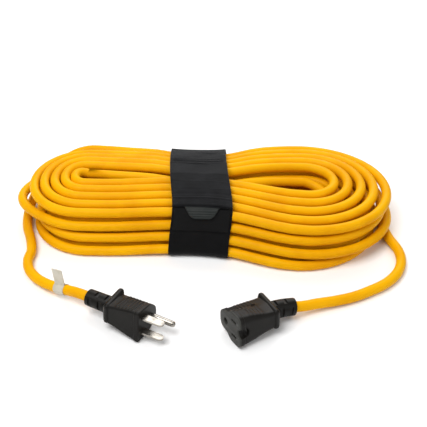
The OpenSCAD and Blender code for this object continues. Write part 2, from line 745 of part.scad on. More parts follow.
hank();
plug_tail();
connector_tail();
label_flag();
strap_band();
strap_loop_tape();
strap_back_panel();
strap_flap();
strap_hook_tape();
flap_hem();
hem_stitches();
back_stitches();
pull_tab();
plug_body();
plug_core();
line_blade();
neutral_blade();
ground_pin();
plug_jacket_end();
plug_line_wire();
plug_neutral_wire();
plug_ground_wire();
connector_body();
connector_carrier();
line_contact();
neutral_contact();
ground_contact();
connector_jacket_end();
connector_line_wire();
connector_neutral_wire();
connector_ground_wire();
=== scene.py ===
"""Looks of an outdoor extension cord, wound into a hank and tied by a strap.

The cord, the strap, the two moulded ends and the label are surfaces worked out with
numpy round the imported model. Shapes are worked out in millimetres from the middle of
the waist, and placed and scaled to metres when they become meshes.
"""

import logging
import math
from dataclasses import dataclass, field
from enum import Enum
from typing import Mapping, Optional, Sequence, Union

import bpy
import numpy as np
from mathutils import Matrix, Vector
from mathutils.geometry import tessellate_polygon


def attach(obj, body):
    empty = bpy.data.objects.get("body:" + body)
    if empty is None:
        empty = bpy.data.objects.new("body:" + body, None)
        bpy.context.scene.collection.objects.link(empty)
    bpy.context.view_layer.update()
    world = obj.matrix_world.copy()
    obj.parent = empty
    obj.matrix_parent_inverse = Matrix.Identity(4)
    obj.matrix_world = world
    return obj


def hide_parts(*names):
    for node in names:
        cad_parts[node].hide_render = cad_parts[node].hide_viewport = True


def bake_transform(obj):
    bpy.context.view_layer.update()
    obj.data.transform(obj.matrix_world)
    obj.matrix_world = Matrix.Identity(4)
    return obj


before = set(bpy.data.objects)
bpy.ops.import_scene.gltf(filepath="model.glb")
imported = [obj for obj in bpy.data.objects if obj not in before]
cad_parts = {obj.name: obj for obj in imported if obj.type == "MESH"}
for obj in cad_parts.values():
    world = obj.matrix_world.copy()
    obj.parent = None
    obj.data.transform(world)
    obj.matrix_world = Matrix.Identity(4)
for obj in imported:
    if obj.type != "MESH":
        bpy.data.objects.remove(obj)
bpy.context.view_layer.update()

LOG = logging.getLogger("extension_cord")
MM = 0.001
CENTRE = np.array([2.1, -2.5, 0.0])
"""Moves the hank's box over the origin, as the solids do."""

FACE_DEPTH = 9.0
"""How far the connector's separate face reaches into its moulding."""
ENTRY_DEPTH = 8.0
"""Depth of the slots in that face."""
SLOT_HALF = (3.475, 0.95)
"""Half length and half width of a slot."""
SLOT_SQUARENESS = 0.35
"""Power that makes a circle a slot with rounded corners: 1 is round, 0 is square."""
BLADE_UP = 5.95
"""The slots above the axis, and the ground hole below it."""
BLADE_ACROSS = 6.35
"""Each slot to its side of the axis."""
GROUND_HOLE = 2.62
"""Radius of the ground hole."""

Array = np.ndarray
Number = Union[float, int]


# ---- small sums ---------------------------------------------------------------------
def ease(t: Array) -> Array:
    """Smooth step from 0 to 1, level at both ends."""
    t = np.clip(t, 0.0, 1.0)
    return t * t * (3.0 - 2.0 * t)


def unit(v: Array) -> Array:
    """Vectors along the last axis, scaled to length one."""
    return v / np.linalg.norm(v, axis=-1, keepdims=True)


def turned(axis: int, angle: Number) -> Array:
    """Rotation about an axis by an angle in degrees, as a matrix for row vectors.

    Args:
        axis: 0, 1 or 2 for X, Y or Z.
        angle: degrees, anticlockwise.

    Returns:
        The (3, 3) matrix.
    """
    a, b = (axis + 1) % 3, (axis + 2) % 3
    matrix = np.eye(3)
    matrix[a, a] = matrix[b, b] = math.cos(math.radians(angle))
    matrix[a, b] = math.sin(math.radians(angle))
    matrix[b, a] = -matrix[a, b]
    return matrix


def spline(points: Array, samples: int) -> Array:
    """A smooth curve through points.

    Each leg is a cubic whose end slopes are the mean directions of the legs that
    meet there, scaled by the leg's own length, so uneven legs don't overshoot.

    Args:
        points: control points, (n, 3), of which the first and last only set slopes.
        samples: points on each leg.

    Returns:
        The curve from the second point to the last but one.
    """
    legs = np.diff(points, axis=0)
    size = np.linalg.norm(legs, axis=1, keepdims=True)
    slope = unit(legs[:-1] / size[:-1] * size[1:] + legs[1:] / size[1:] * size[:-1])
    t = (np.arange(samples) / samples)[None, :, None]
    a, b = points[1:-2, None], points[2:-1, None]
    m0, m1 = slope[:-1, None] * size[1:-1, None], slope[1:, None] * size[1:-1, None]
    curve = ((2 * t**3 - 3 * t**2 + 1) * a + (t**3 - 2 * t**2 + t) * m0
             + (3 * t**2 - 2 * t**3) * b + (t**3 - t**2) * m1)
    return np.concatenate([curve.reshape(-1, 3), points[-2][None]])


def distances(line: Array) -> Array:
    """Distance of each point of a line from its first, along the line."""
    return np.concatenate([[0.0], np.cumsum(np.linalg.norm(np.diff(line, axis=0), axis=1))])


def round_angles(count: int) -> Array:
    """Angles of evenly spaced points on a circle, in radians."""
    return np.arange(count) / count * 2 * math.pi


def spokes(angle: Array) -> Array:
    """Unit vectors at some angles, along a new last axis."""
    return np.stack([np.cos(angle), np.sin(angle)], axis=-1)


def crowded(count: int) -> Array:
    """Places from -1 to 1 that lie closer towards both ends: the sine of even angles."""
    return np.sin(np.linspace(-1, 1, count) * math.pi / 2)


def quarter(t: Array, least: float = 0.0) -> Array:
    """Height of a quarter circle: 0 and upright at t = 0, 1 and level from t = 1 on."""
    return np.sqrt(1 - (1 - np.clip(t, least, 1)) ** 2)


def carried(first: Array, second: Array) -> Array:
    """Two measures in millimetres, spread to one shape, as a map in metres."""
    return np.stack(np.broadcast_arrays(first * MM, second * MM), axis=-1)


# ---- meshes -------------------------------------------------------------------------
class Wrap(Enum):
    """How a grid of points closes."""

    SHEET = "open both ways"
    TUBE = "closed across, open and capped along"
    RING = "closed both ways"


def grid_faces(rows: int, columns: int, wrap: Wrap) -> Array:
    """Four-sided faces between the neighbours of a grid, as rows of four indices.

    Args:
        rows: rows of points.
        columns: points in a row.
        wrap: how the grid closes.

    Returns:
        (n, 4) indices.
    """
    down = rows if wrap is Wrap.RING else rows - 1
    across = columns - 1 if wrap is Wrap.SHEET else columns
    i, j = np.meshgrid(np.arange(down), np.arange(across), indexing="ij")
    i2, j2 = (i + 1) % rows, (j + 1) % columns
    faces = np.stack([i * columns + j, i * columns + j2, i2 * columns + j2,
                      i2 * columns + j], axis=-1)
    return faces.reshape(-1, 4)


def fan(tip: int, ring: Array) -> Array:
    """Triangles from a tip to each edge of a ring, as rows of three indices."""
    return np.stack([np.full(len(ring), tip), ring, np.roll(ring, -1)], axis=1)


def make_mesh(name: str, vertices: Array, faces: Sequence[Array],
              uv: Optional[Array] = None, sharp: Optional[float] = 40.0) -> bpy.types.Object:
    """Puts vertices and faces into a mesh object at the origin.

    Args:
        name: the piece's name.
        vertices: (n, 3) in millimetres from the middle of the waist.
        faces: arrays of faces, each with rows of one length.
        uv: (n, 2) in metres, written for each corner of each face.
        sharp: edges sharper than this many degrees stay crisp; None for all smooth.

    Returns:
        The new object, linked to the scene.
    """
    mesh = bpy.data.meshes.new(name)
    rows = [face for block in faces for face in block.tolist()]
    mesh.from_pydata(((vertices + CENTRE) * MM).tolist(), [], rows)
    if uv is not None:
        layer = mesh.uv_layers.new(name="Cloth")
        corner = np.zeros(len(mesh.loops), np.int32)
        mesh.loops.foreach_get("vertex_index", corner)
        layer.data.foreach_set("uv", uv[corner].astype(np.float32).ravel())
    mesh.polygons.foreach_set("use_smooth", np.ones(len(mesh.polygons), bool))
    mesh.validate()
    mesh.update()
    if sharp is not None:
        mesh.set_sharp_from_angle(angle=math.radians(sharp))
    piece = bpy.data.objects.new(name, mesh)
    bpy.context.collection.objects.link(piece)
    return piece


@dataclass
class Solid:
    """Vertices and faces that are gathered before they become one mesh."""

    vertices: list[Array] = field(default_factory=list)
    faces: list[Array] = field(default_factory=list)
    uv: list[Array] = field(default_factory=list)
    count: int = 0

    def add(self, grid: Array, wrap: Wrap, uv: Optional[Array] = None,
            flip: bool = False) -> "Solid":
        """Adds a grid of points, with its open ends closed by fans.

        Args:
            grid: (rows, columns, 3) points.
            wrap: how the grid closes.
            uv: (rows, columns, 2), or nothing.
            flip: turns the faces over.

        Returns:
            This solid.
        """
        rows, columns = grid.shape[:2]
        points = grid.reshape(-1, 3)
        marks = np.zeros((len(points), 2)) if uv is None else uv.reshape(-1, 2)
        blocks = [grid_faces(rows, columns, wrap)]
        if wrap is Wrap.TUBE:
            ends = np.stack([grid[0].mean(0), grid[-1].mean(0)])
            around = np.arange(columns)
            tip = len(points)
            blocks.append(fan(tip, around)[:, [0, 2, 1]])
            blocks.append(fan(tip + 1, (rows - 1) * columns + around))
            points = np.concatenate([points, ends])
            marks = np.concatenate([marks, marks[[0, -1]]])
        for block in blocks:
            self.faces.append((block[:, ::-1] if flip else block) + self.count)
        self.vertices.append(points)
        self.uv.append(marks)
        self.count += len(points)
        return self

    def piece(self, name: str, sharp: Optional[float] = 40.0) -> bpy.types.Object:
        """The gathered solid as one object."""
        return make_mesh(name, np.concatenate(self.vertices), self.faces,
                         np.concatenate(self.uv), sharp)


def tube_grid(path: Array, radius: Union[float, Array], sides: int) -> Array:
    """Rings of a tube along a path.

    The ring's frame is the path's direction, the level line across it, and the line
    square to both, so the tube never twists on a path that is nowhere upright.

    Args:
        path: (n, 3) points.
        radius: one radius, or (n,) or (n, sides) of them.
        sides: points in a ring.

    Returns:
        (n, sides, 3) points.
    """
    ahead = unit(np.gradient(path, axis=0))
    side = unit(np.cross(ahead, [0.0, 0.0, 1.0]))
    up = np.cross(side, ahead)
    angle = round_angles(sides) - math.pi / 2
    r = np.broadcast_to(np.reshape(radius, (-1, 1)) if np.ndim(radius) < 2 else radius,
                        (len(path), sides))[..., None]
    ring = (np.cos(angle)[None, :, None] * side[:, None]
            + np.sin(angle)[None, :, None] * up[:, None])
    return path[:, None] + r * ring


# ---- shader values that add up in Python ----------------------------------------------
class Sock:
    """One value of a shader. Its operators add Math nodes."""

    def __init__(self, shader: "Shader", socket: bpy.types.NodeSocket) -> None:
        """Keeps the shader that the value belongs to, and its socket."""
        self.shader = shader
        self.socket = socket

    def _maths(self, operation: str, *values: "Union[Sock, Number]") -> "Sock":
        """A Math node on some values."""
        return self.shader.node("ShaderNodeMath", {"operation": operation},
                                dict(enumerate(values)))

    def __add__(self, other: "Union[Sock, Number]") -> "Sock":
        """Sum."""
        return self._maths("ADD", self, other)

    __radd__ = __add__

    def __sub__(self, other: "Union[Sock, Number]") -> "Sock":
        """Difference."""
        return self._maths("SUBTRACT", self, other)

    def __mul__(self, other: "Union[Sock, Number]") -> "Sock":
        """Product."""
        return self._maths("MULTIPLY", self, other)

    __rmul__ = __mul__

    def sine(self) -> "Sock":
        """Sine of the value in radians."""
        return self._maths("SINE", self)

    def size(self) -> "Sock":
        """The value without its sign."""
        return self._maths("ABSOLUTE", self)

    def above(self, low: Number, high: Number) -> "Sock":
        """Smooth step from 0 at low to 1 at high."""
        return self.shader.node(
            "ShaderNodeMapRange", {"interpolation_type": "SMOOTHSTEP"},
            {0: self, 1: low, 2: high, 3: 0.0, 4: 1.0})


Colour = tuple[float, float, float]
Feed = Union[Sock, Number, Sequence[float]]


class Shader:
    """A material on a Principled shader."""

    def __init__(self, name: str) -> None:
        """Makes the material with its plain shader.

        Args:
            name: the material's name.
        """
        self.material = bpy.data.materials.new(name)
        self.material.use_nodes = True
        self.tree = self.material.node_tree
        self.surface = self.tree.nodes["Principled BSDF"]

    def node(self, kind: str, settings: Optional[Mapping[str, object]] = None,
             feeds: Optional[Mapping[Union[int, str], Feed]] = None,
             out: Union[int, str] = 0) -> Sock:
        """Adds a node.

        Args:
            kind: the node's type.
            settings: its own settings.
            feeds: values or links of its sockets, by number or name.
            out: the output that is wanted, by number or name.

        Returns:
            That output.
        """
        made = self.tree.nodes.new(kind)
        for key, value in (settings or {}).items():
            setattr(made, key, value)
        for key, value in (feeds or {}).items():
            self.feed(made.inputs[key], value)
        return Sock(self, made.outputs[out])

    def feed(self, socket: bpy.types.NodeSocket, value: Feed) -> None:
        """Links a value to a socket, or sets it there."""
        if isinstance(value, Sock):
            self.tree.links.new(value.socket, socket)
        elif isinstance(value, (int, float)):
            socket.default_value = value
        else:
            size = len(socket.default_value)
            socket.default_value = tuple(value) + (1.0,) * (size - len(value))

    def set(self, **values: Feed) -> None:
        """Feeds the surface's sockets, named with underscores for blanks."""
        for name, value in values.items():
            self.feed(self.surface.inputs[name.replace("_", " ")], value)

    def object_place(self, scale: Sequence[float] = (1.0, 1.0, 1.0)) -> Sock:
        """Object coordinates, stretched by a scale."""
        place = self.node("ShaderNodeTexCoord", out="Object")
        return self.node("ShaderNodeMapping", None, {"Vector": place, "Scale": scale})

    def surface_place(self) -> tuple[Sock, Sock, Sock]:
        """The piece's own map in metres: the vector, and its two parts.

        Returns:
            The vector, its first part and its second.
        """
        place = self.node("ShaderNodeUVMap", {"uv_map": "Cloth"})
        u = self.node("ShaderNodeSeparateXYZ", None, {0: place}, 0)
        v = self.node("ShaderNodeSeparateXYZ", None, {0: place}, 1)
        return place, u, v

    def noise(self, place: Sock, scale: Number, detail: Number = 3.0,
              roughness: Number = 0.55) -> Sock:
        """Cloudy pattern from 0 to 1."""
        return self.node("ShaderNodeTexNoise", None, {
            "Vector": place, "Scale": scale, "Detail": detail, "Roughness": roughness})

    def mixed(self, share: Feed, first: Feed, second: Feed) -> Sock:
        """Colour between two colours."""
        return self.node("ShaderNodeMix", {"data_type": "RGBA"},
                         {0: share, 6: first, 7: second}, 2)

    def relief(self, height: Sock, depth: Number, strength: Number = 1.0) -> None:
        """Bumps on the surface, with a depth in metres for a height of one."""
        self.set(Normal=self.node("ShaderNodeBump", None, {
            "Height": height, "Distance": depth, "Strength": strength}))


# ---- finishes -------------------------------------------------------------------------
@dataclass(frozen=True)
class VinylJacket:
    """Golden soft vinyl: a satin gloss, faint blotches and rubbed, dusty patches."""

    golden: Colour = (0.835, 0.415, 0.0015)
    amber: Colour = (0.75, 0.335, 0.001)

    def build(self) -> bpy.types.Material:
        """Builds the finish.

        Returns:
            The material.
        """
        shader = Shader("golden vinyl jacket")
        place = shader.object_place()
        cloud = shader.noise(place, scale=28.0, detail=4.0)
        scuff = shader.noise(shader.object_place((0.5, 1.6, 1.6)), scale=190.0, detail=5.0,
                             roughness=0.65)
        pits = shader.noise(place, scale=900.0, detail=2.0)
        shader.set(
            Base_Color=shader.mixed(cloud.above(0.35, 0.7), self.golden, self.amber),
            Roughness=0.38 + scuff.above(0.45, 0.8) * 0.16 + (cloud - 0.5) * 0.08,
            Specular_IOR_Level=0.055, Subsurface_Weight=0.04,
            Subsurface_Radius=(0.004, 0.002, 0.0006))
        shader.relief(scuff * 0.5 + pits * 0.3, 0.00012, 0.6)
        return shader.material


@dataclass(frozen=True)
class MouldedVinyl:
    """Moulded soft vinyl or hard plastic: fine spark-eroded grain and rubbed patches."""

    name: str
    colour: Colour
    rubbed: Colour
    roughness: float = 0.40
    grain: float = 0.00005
    shine: float = 0.15

    def build(self) -> bpy.types.Material:
        """Builds the finish.

        Returns:
            The material.
        """
        shader = Shader(self.name)
        place = shader.object_place()
        grain = shader.noise(place, scale=2600.0, detail=3.0)
        cloud = shader.noise(place, scale=90.0, detail=4.0)
        shader.set(
            Base_Color=shader.mixed(cloud.above(0.4, 0.75) * 0.6, self.colour, self.rubbed),
            Roughness=self.roughness + (cloud - 0.5) * 0.14 + (grain - 0.5) * 0.1,
            Specular_IOR_Level=self.shine)
        shader.relief(grain, self.grain, 0.8)
        return shader.material


@dataclass(frozen=True)
class DrawnMetal:
    """Stamped or turned metal: fine drawing lines along X and a few handling marks."""

    name: str
    colour: Colour
    dull: Colour
    roughness: float = 0.24

    def build(self) -> bpy.types.Material:
        """Builds the finish.

        Returns:
            The material.
        """
        shader = Shader(self.name)
        lines = shader.noise(shader.object_place((0.08, 1.0, 1.0)), scale=2400.0, detail=3.0)
        marks = shader.noise(shader.object_place(), scale=260.0, detail=4.0)
        shader.set(
            Base_Color=shader.mixed(marks.above(0.45, 0.75), self.colour, self.dull),
            Metallic=1.0, Roughness=self.roughness + (lines - 0.5) * 0.2 + (marks - 0.5) * 0.12)
        shader.relief(lines * 0.7 + marks * 0.3, 0.00003, 0.6)
        return shader.material


@dataclass(frozen=True)
class Cloth:
    """Woven tape with a nap: ribs across it, a twill along it, stray fuzz and a top made lighter
    by painted light.

    Attributes:
        name: the material's name.
        colour: colour of the clean cloth.
        worn_and_lit: colour of its places of wear and dust, and of the painted light on its top.
        thread: spacing of the threads.
        nap: depth of the weave.
        sheen: how much light the nap throws back at a low angle.
        roughness: roughness of the cloth.
        painted_light_from: height at which the painted light on the top starts.
        painted_light_to: height from which the top is wholly painted lighter.
        painted_light_share: share of the mix towards the lighter colour that comes only with the
            painted light on the top.
    """

    name: str
    colour: Colour
    worn_and_lit: Colour
    thread: float = 0.00055
    nap: float = 0.00016
    sheen: float = 0.035
    roughness: float = 0.55
    painted_light_from: float = 0.036
    painted_light_to: float = 0.046
    painted_light_share: float = 0.75

    def build(self) -> bpy.types.Material:
        """Builds the finish.

        Returns:
            The material.
        """
        shader = Shader(self.name)
        place, u, v = shader.surface_place()
        turn = 2 * math.pi
        warp = ((u + v * 0.35) * (turn / self.thread)).sine()
        weft = (v * (turn / (self.thread * 0.8))).sine()
        fuzz = shader.noise(place, scale=3200.0, detail=4.0, roughness=0.7)
        cloud = shader.noise(place, scale=60.0, detail=5.0, roughness=0.6)
        weave = warp.size() * 0.5 + weft.size() * 0.35 + fuzz * 0.5
        # Painted light: above a height the cloth is mixed further towards its lighter second
        # colour, standing in for the light that falls on the strap's top.
        height = shader.node("ShaderNodeSeparateXYZ", None, {0: shader.object_place()}, 2)
        painted_top_light = height.above(self.painted_light_from, self.painted_light_to) * self.painted_light_share + (1 - self.painted_light_share)
        shader.set(
            Base_Color=shader.mixed((cloud.above(0.35, 0.75) * 0.5 + fuzz * 0.6) * painted_top_light,
                                    self.colour, self.worn_and_lit),
            Roughness=self.roughness + (fuzz - 0.5) * 0.2,
            Sheen_Weight=self.sheen, Sheen_Roughness=0.45, Sheen_Tint=(0.6, 0.62, 0.66),
            Specular_IOR_Level=0.10)
        shader.relief(weave, self.nap, 0.7)
        return shader.material


@dataclass(frozen=True)
class LabelFilm:
    """White film with a faint yellowing and soft creases."""

    white: Colour = (0.57, 0.53, 0.44)
    tinted: Colour = (0.47, 0.43, 0.34)

    def build(self) -> bpy.types.Material:
        """Builds the finish.

        Returns:
            The material.
        """
        shader = Shader("white label film")
        place = shader.object_place()
        cloud = shader.noise(place, scale=120.0, detail=4.0)
        fibre = shader.noise(place, scale=1800.0, detail=3.0)
        shader.set(
            Base_Color=shader.mixed(cloud.above(0.4, 0.8), self.white, self.tinted),
            Roughness=0.4 + (fibre - 0.5) * 0.15, Coat_Weight=0.1)
        shader.relief(cloud * 0.6 + fibre * 0.1, 0.0002, 0.5)
        return shader.material


class Finishes:
    """Every finish of the object, made once."""

    def __init__(self) -> None:
        """Builds the materials."""
        self.jacket = VinylJacket().build()
        self.moulding = MouldedVinyl("black moulded vinyl", (0.0062, 0.0054, 0.0042),
                                     (0.0115, 0.0105, 0.0090)).build()
        # Partly painted light: the faces are a lighter grey than the mouldings, partly their own
        # colour and partly standing in for the light that falls on them.
        self.face = MouldedVinyl("dark grey face with painted light", (0.036, 0.036, 0.032),
                                 (0.050, 0.050, 0.046), 0.5).build()
        self.tab = MouldedVinyl("dark grey ribbed tab", (0.016, 0.019, 0.018),
                                (0.028, 0.030, 0.028), 0.5, 0.0001).build()
        self.core = MouldedVinyl("core insulation", (0.82, 0.82, 0.78),
                                 (0.72, 0.72, 0.68), 0.4).build()
        self.plated = DrawnMetal("nickel plated brass", (0.36, 0.335, 0.30),
                                 (0.22, 0.205, 0.18)).build()
        self.brass = DrawnMetal("spring brass", (0.80, 0.60, 0.28), (0.6, 0.42, 0.18)).build()
        # The second colour of each cloth is its colour of wear and also the painted light on its
        # top.
        self.webbing = Cloth("black strap webbing", (0.0010, 0.0010, 0.0011),
                             (0.0120, 0.0125, 0.0145)).build()
        self.hooks = Cloth("black fastener tape", (0.005, 0.005, 0.0052),
                           (0.012, 0.012, 0.012), 0.0012, 0.0005, 0.06, 0.7).build()
        self.thread = Cloth("black sewing thread", (0.008, 0.008, 0.0085),
                            (0.02, 0.02, 0.021), 0.0003, 0.0001).build()
        self.label = LabelFilm().build()


def coat(data: bpy.types.Mesh, material: bpy.types.Material) -> None:
    """Gives a mesh one material."""
    data.materials.clear()
    data.materials.append(material)


def seat(piece: bpy.types.Object, material: bpy.types.Material, slot: str,
         body: Optional[str], *nodes: str) -> None:
    """Finishes a piece and puts it on its body, in place of the solids it stands for.

    Args:
        piece: the piece.
        material: its finish.
        slot: the record's slot that the finish stands for; not used.
        body: the body that it rides on, or None to leave it on no body.
        nodes: the solids.
    """
    coat(piece.data, material)
    if body:
        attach(piece, body)
    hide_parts(*nodes)
    LOG.info("%s: %d vertices, in place of %s", piece.name, len(piece.data.vertices),
             ", ".join(nodes))


# ---- the winding ----------------------------------------------------------------------
@dataclass(frozen=True)
class Winding:
    """The hank's line, in millimetres from the middle of the waist.

    A turn is counted from the middle of the front run: 0.25 is the right tip, 0.5 the
    middle of the back run and 0.75 the left tip. Loops spiral in and out by turns and
    the cord climbs a layer along the back run, where they reverse.

    Attributes:
        cord_d: the cord's diameter.
        layers: layers of the hank.
        loops: loops in a layer.
        strand_gap: gap between strands at the waist.
        layer_gap: gap between layers.
        left_gap: gap between strands at the left folds.
        right_gap: gap between strands across the right folds.
        tip_gap: gap between strands at the right tip.
        waist_slot: half width of the slot inside the hank at the waist.
        left_fold: inner radius of the left folds.
        right_fold: inner radius of the right folds, across the hank.
        right_nose: inner radius of the right folds, along the hank.
        left_reach: distance from the waist to the left folds' centre.
        right_reach: distance from the waist to the right folds' centre.
        crown: how much higher the inner strands of the top layer lie.
        lean: how far a layer sits behind the one below it.
        left_step: how far a left fold sits outside the one below it.
        right_step: how far the bottom layer's right folds are drawn in.
        stray: how far the stray loop stands out at the left.
        lift: how far the strap below lifts the hank.
        squeeze: how far the strap presses each layer down on the back run.
        pull: share by which the strap draws the back run in.
        first_turn: the turn at which the cord enters the hank.
        last_share: share of a turn past the last whole one.
        exit_at: share of the last turn at which the cord moves outside the hank.
        exit_run: share of a turn that it takes for that.
        drop_at: share of the last turn at which it starts down to the floor.
        drop_run: share of a turn that it takes for that.
        stray_at: share of its turn at which the stray loop stands out most.
        stray_run: share of a turn over which it fades.
        lift_reach: how far along the hank the strap's lift is felt.
        strap_x: the strap's middle along the hank.
        strap_reach: how far from there the squeeze and the pull are felt.
        still_reach: how far from there the strands lie without waves.
        still_run: length over which the waves grow.
        wander: size of the waves, as a share of the gap between strands.
        solid_rings: sections in a turn of the solid.
    """

    cord_d: float = 8.2
    layers: int = 4
    loops: int = 5
    strand_gap: float = 0.9
    layer_gap: float = 0.9
    left_gap: float = 0.7
    right_gap: float = 1.8
    tip_gap: float = 3.5
    waist_slot: float = 2.6
    left_fold: float = 7.6
    right_fold: float = 14.5
    right_nose: float = 15.8
    left_reach: float = 105.0
    right_reach: float = 85.5
    crown: float = 7.5
    lean: float = 4.0
    left_step: float = 2.8
    right_step: float = 8.0
    stray: float = 10.0
    lift: float = 2.0
    squeeze: float = 0.85
    pull: float = 0.045
    first_turn: float = 0.25
    last_share: float = 0.79
    exit_at: float = 0.54
    exit_run: float = 0.09
    drop_at: float = 0.57
    drop_run: float = 0.21
    stray_at: float = 0.77
    stray_run: float = 0.06
    lift_reach: float = 60.0
    strap_x: float = -4.0
    strap_reach: float = 36.0
    still_reach: float = 28.0
    still_run: float = 45.0
    wander: float = 0.42
    solid_rings: int = 24

    @property
    def last_turn(self) -> float:
        """The turn at which the cord leaves the hank, on a whole ring of the solid."""
        turns = self.layers * self.loops + self.last_share
        return round(turns * self.solid_rings) / self.solid_rings

    @property
    def waist_half(self) -> float:
        """Half width of the hank at the waist, to the middle of the outer strand."""
        return self.waist_slot + self.loops * (self.cord_d + self.strand_gap)

    @property
    def middle_level(self) -> float:
        """Level halfway between the bottom and the top layer."""
        return (self.layers - 1) / 2

    def strands_in(self, s: Array) -> Array:
        """Strands between the outer edge and the cord at turn s.

        Args:
            s: turns.

        Returns:
            (n,) strands, less than 0 outside the hank.
        """
        whole = self.layers * self.loops
        m = np.mod(s - 0.5, 2 * self.loops)
        inset = np.where(s < 0.5, s - 0.5, np.where(m <= self.loops, m, 2 * self.loops - m))
        return np.where(s > whole + 0.5, -ease((s - whole - self.exit_at) / self.exit_run),
                        inset)

    def layer_at(self, s: Array) -> Array:
        """Layer of the cord at turn s, from 0 at the bottom.

        Args:
            s: turns.

        Returns:
            (n,) layers.
        """
        climbs = sum(ease((s - k * self.loops - 0.25) * 2) for k in range(1, self.layers))
        drop = ease((s - self.layers * self.loops - self.drop_at) / self.drop_run)
        return climbs - (self.layers - 1) * drop

    def half_width(self, inset: Array, share: Array, fold: float, gap: float) -> Array:
        """Half width, a share of the way from the waist to a fold.

        The waist's width and the fold's are blended by a cosine, level at both ends.
        """
        g = (1 - np.cos(math.pi * np.clip(share, 0, 1))) / 2
        return ((self.waist_half - inset * (self.cord_d + self.strand_gap)) * (1 - g)
                + (fold + (self.loops - inset) * (self.cord_d + gap)) * g)

    def under_strap(self, x: Array) -> Array:
        """1 under the strap, falling to 0 on both sides of it."""
        return np.exp(-(((x - self.strap_x) / self.strap_reach) ** 4))

    def height(self, x: Array, inset: Array, level: Array, back: Union[Array, float]) -> Array:
        """Height of the cord's middle.

        It is the sum of its layer, the crown and the strap below it, less what the strap
        squeezes out of the layers on the back run, where back is 1.

        Args:
            x: places along the hank.
            inset: strands from the outer edge.
            level: layers.
            back: 1 on the back run, 0 on the front.

        Returns:
            Heights above the floor.
        """
        dome = 1 - (1 - np.clip(inset / self.loops, 0, 1)) ** 2
        squeeze = self.squeeze * level * back * self.under_strap(x)
        return (self.cord_d / 2 + self.lift * np.exp(-((x / self.lift_reach) ** 4))
                + level * (self.cord_d + self.layer_gap)
                + level / (self.layers - 1) * self.crown * dome - squeeze)

    def pulled(self, x: Array, back: Union[Array, float]) -> Array:
        """Share of its distance that a strand of the back run keeps under the strap."""
        return 1 - self.pull * back * self.under_strap(x)

    def half_loop(self, q: Array, inset: Array, reach: Array, nose: float, fold: float,
                  nose_gap: float, fold_gap: float) -> tuple[Array, Array]:
        """Half a loop: a run of cosine width, then a quarter of an ellipse.

        Args:
            q: 0 at the waist and 1 at the tip.
            inset: strands from the outer edge.
            reach: distance from the waist to the fold's centre.
            nose: inner radius along the hank.
            fold: inner radius across the hank.
            nose_gap: gap between strands along the hank.
            fold_gap: gap between strands across it.

        Returns:
            Distances along and across the hank.
        """
        quarter_rings, run_rings = 6, 2
        k = q * quarter_rings
        share = np.clip(0.2 * k + 0.15 * k * k, 0, 1)
        turn = np.clip((k - run_rings) / (quarter_rings - run_rings), 0, 1) * math.pi / 2
        ax = nose + (self.loops - inset) * (self.cord_d + nose_gap)
        ay = fold + (self.loops - inset) * (self.cord_d + fold_gap)
        on_run = k <= run_rings
        x = np.where(on_run, reach * share, reach + ax * np.sin(turn))
        y = np.where(on_run, self.half_width(inset, share, fold, fold_gap),
                     ay * np.cos(turn))
        return x, y

    def left_centre(self, level: Array) -> Array:
        """Distance from the waist to the centre of the left folds."""
        return self.left_reach - self.left_step * (self.layers - 1 - level)

    def right_centre(self, level: Array) -> Array:
        """Distance from the waist to the centre of the right folds."""
        return self.right_reach - self.right_step * np.maximum(0, 1 - level)

    def line(self, s: Array) -> Array:
        """Points of the winding at turns s.

        Args:
            s: turns.

        Returns:
            (n, 3) points.
        """
        inset, level, f = self.strands_in(s), self.layer_at(s), np.mod(s, 1.0)
        right = f < 0.5
        q = 1 - np.abs(f - np.where(right, 0.25, 0.75)) / 0.25
        xr, yr = self.half_loop(q, inset, self.right_centre(level), self.right_nose,
                                self.right_fold, self.tip_gap, self.right_gap)
        xl, yl = self.half_loop(q, inset, self.left_centre(level), self.left_fold,
                                self.left_fold, self.left_gap, self.left_gap)
        from_stray = (s - 2 * self.loops - self.stray_at) / self.stray_run
        out = self.stray * np.exp(-(from_stray ** 2))
        x = np.where(right, xr, -xl) - out
        back = np.where((f < 0.25) | (f >= 0.75), 0, 1)
        y = np.where(right, yr, yl) * (2 * back - 1) * self.pulled(x, back)
        flat = np.stack([x, y + self.lean * (level - self.middle_level)], axis=-1)
        flat, rise = self.wandered(s, flat, level)
        z = self.height(x, inset, level, back) + rise
        return np.concatenate([flat, z[..., None]], axis=-1)

    def wandered(self, s: Array, flat: Array, level: Array) -> tuple[Array, Array]:
        """Slow waves that make the strands lie a little unevenly.

        They are sums of two sines of the turn. They fade out under the strap and at both
        ends of the hank, and stay within half of the gaps between the strands.

        Args:
            s: turns.
            flat: (n, 2) places along and across the hank.
            level: layer at each turn.

        Returns:
            The moved places, and how far each is raised.
        """
        x = flat[:, 0]
        fade = 0.5
        free = (ease((np.abs(x - self.strap_x) - self.still_reach) / self.still_run)
                * ease((s - self.first_turn) / fade) * ease((self.last_turn - s) / fade))
        reach = np.where(x > 0, self.right_reach, self.left_reach)
        past = np.sign(x) * np.clip(np.abs(x) - reach, 0, None)
        outward = unit(np.stack([past, flat[:, 1]], axis=-1) + 1e-6)
        size = np.where(x > 0, self.right_gap, self.left_gap) * self.wander * free
        wave = 0.6 * np.sin(7.3 * s + 1.1) + 0.4 * np.sin(17.9 * s)
        rise = 0.3 * free * np.minimum(level, 1) * (0.6 + 0.4 * np.sin(9.7 * s + 2.0))
        return flat + outward * (size * wave)[:, None], rise

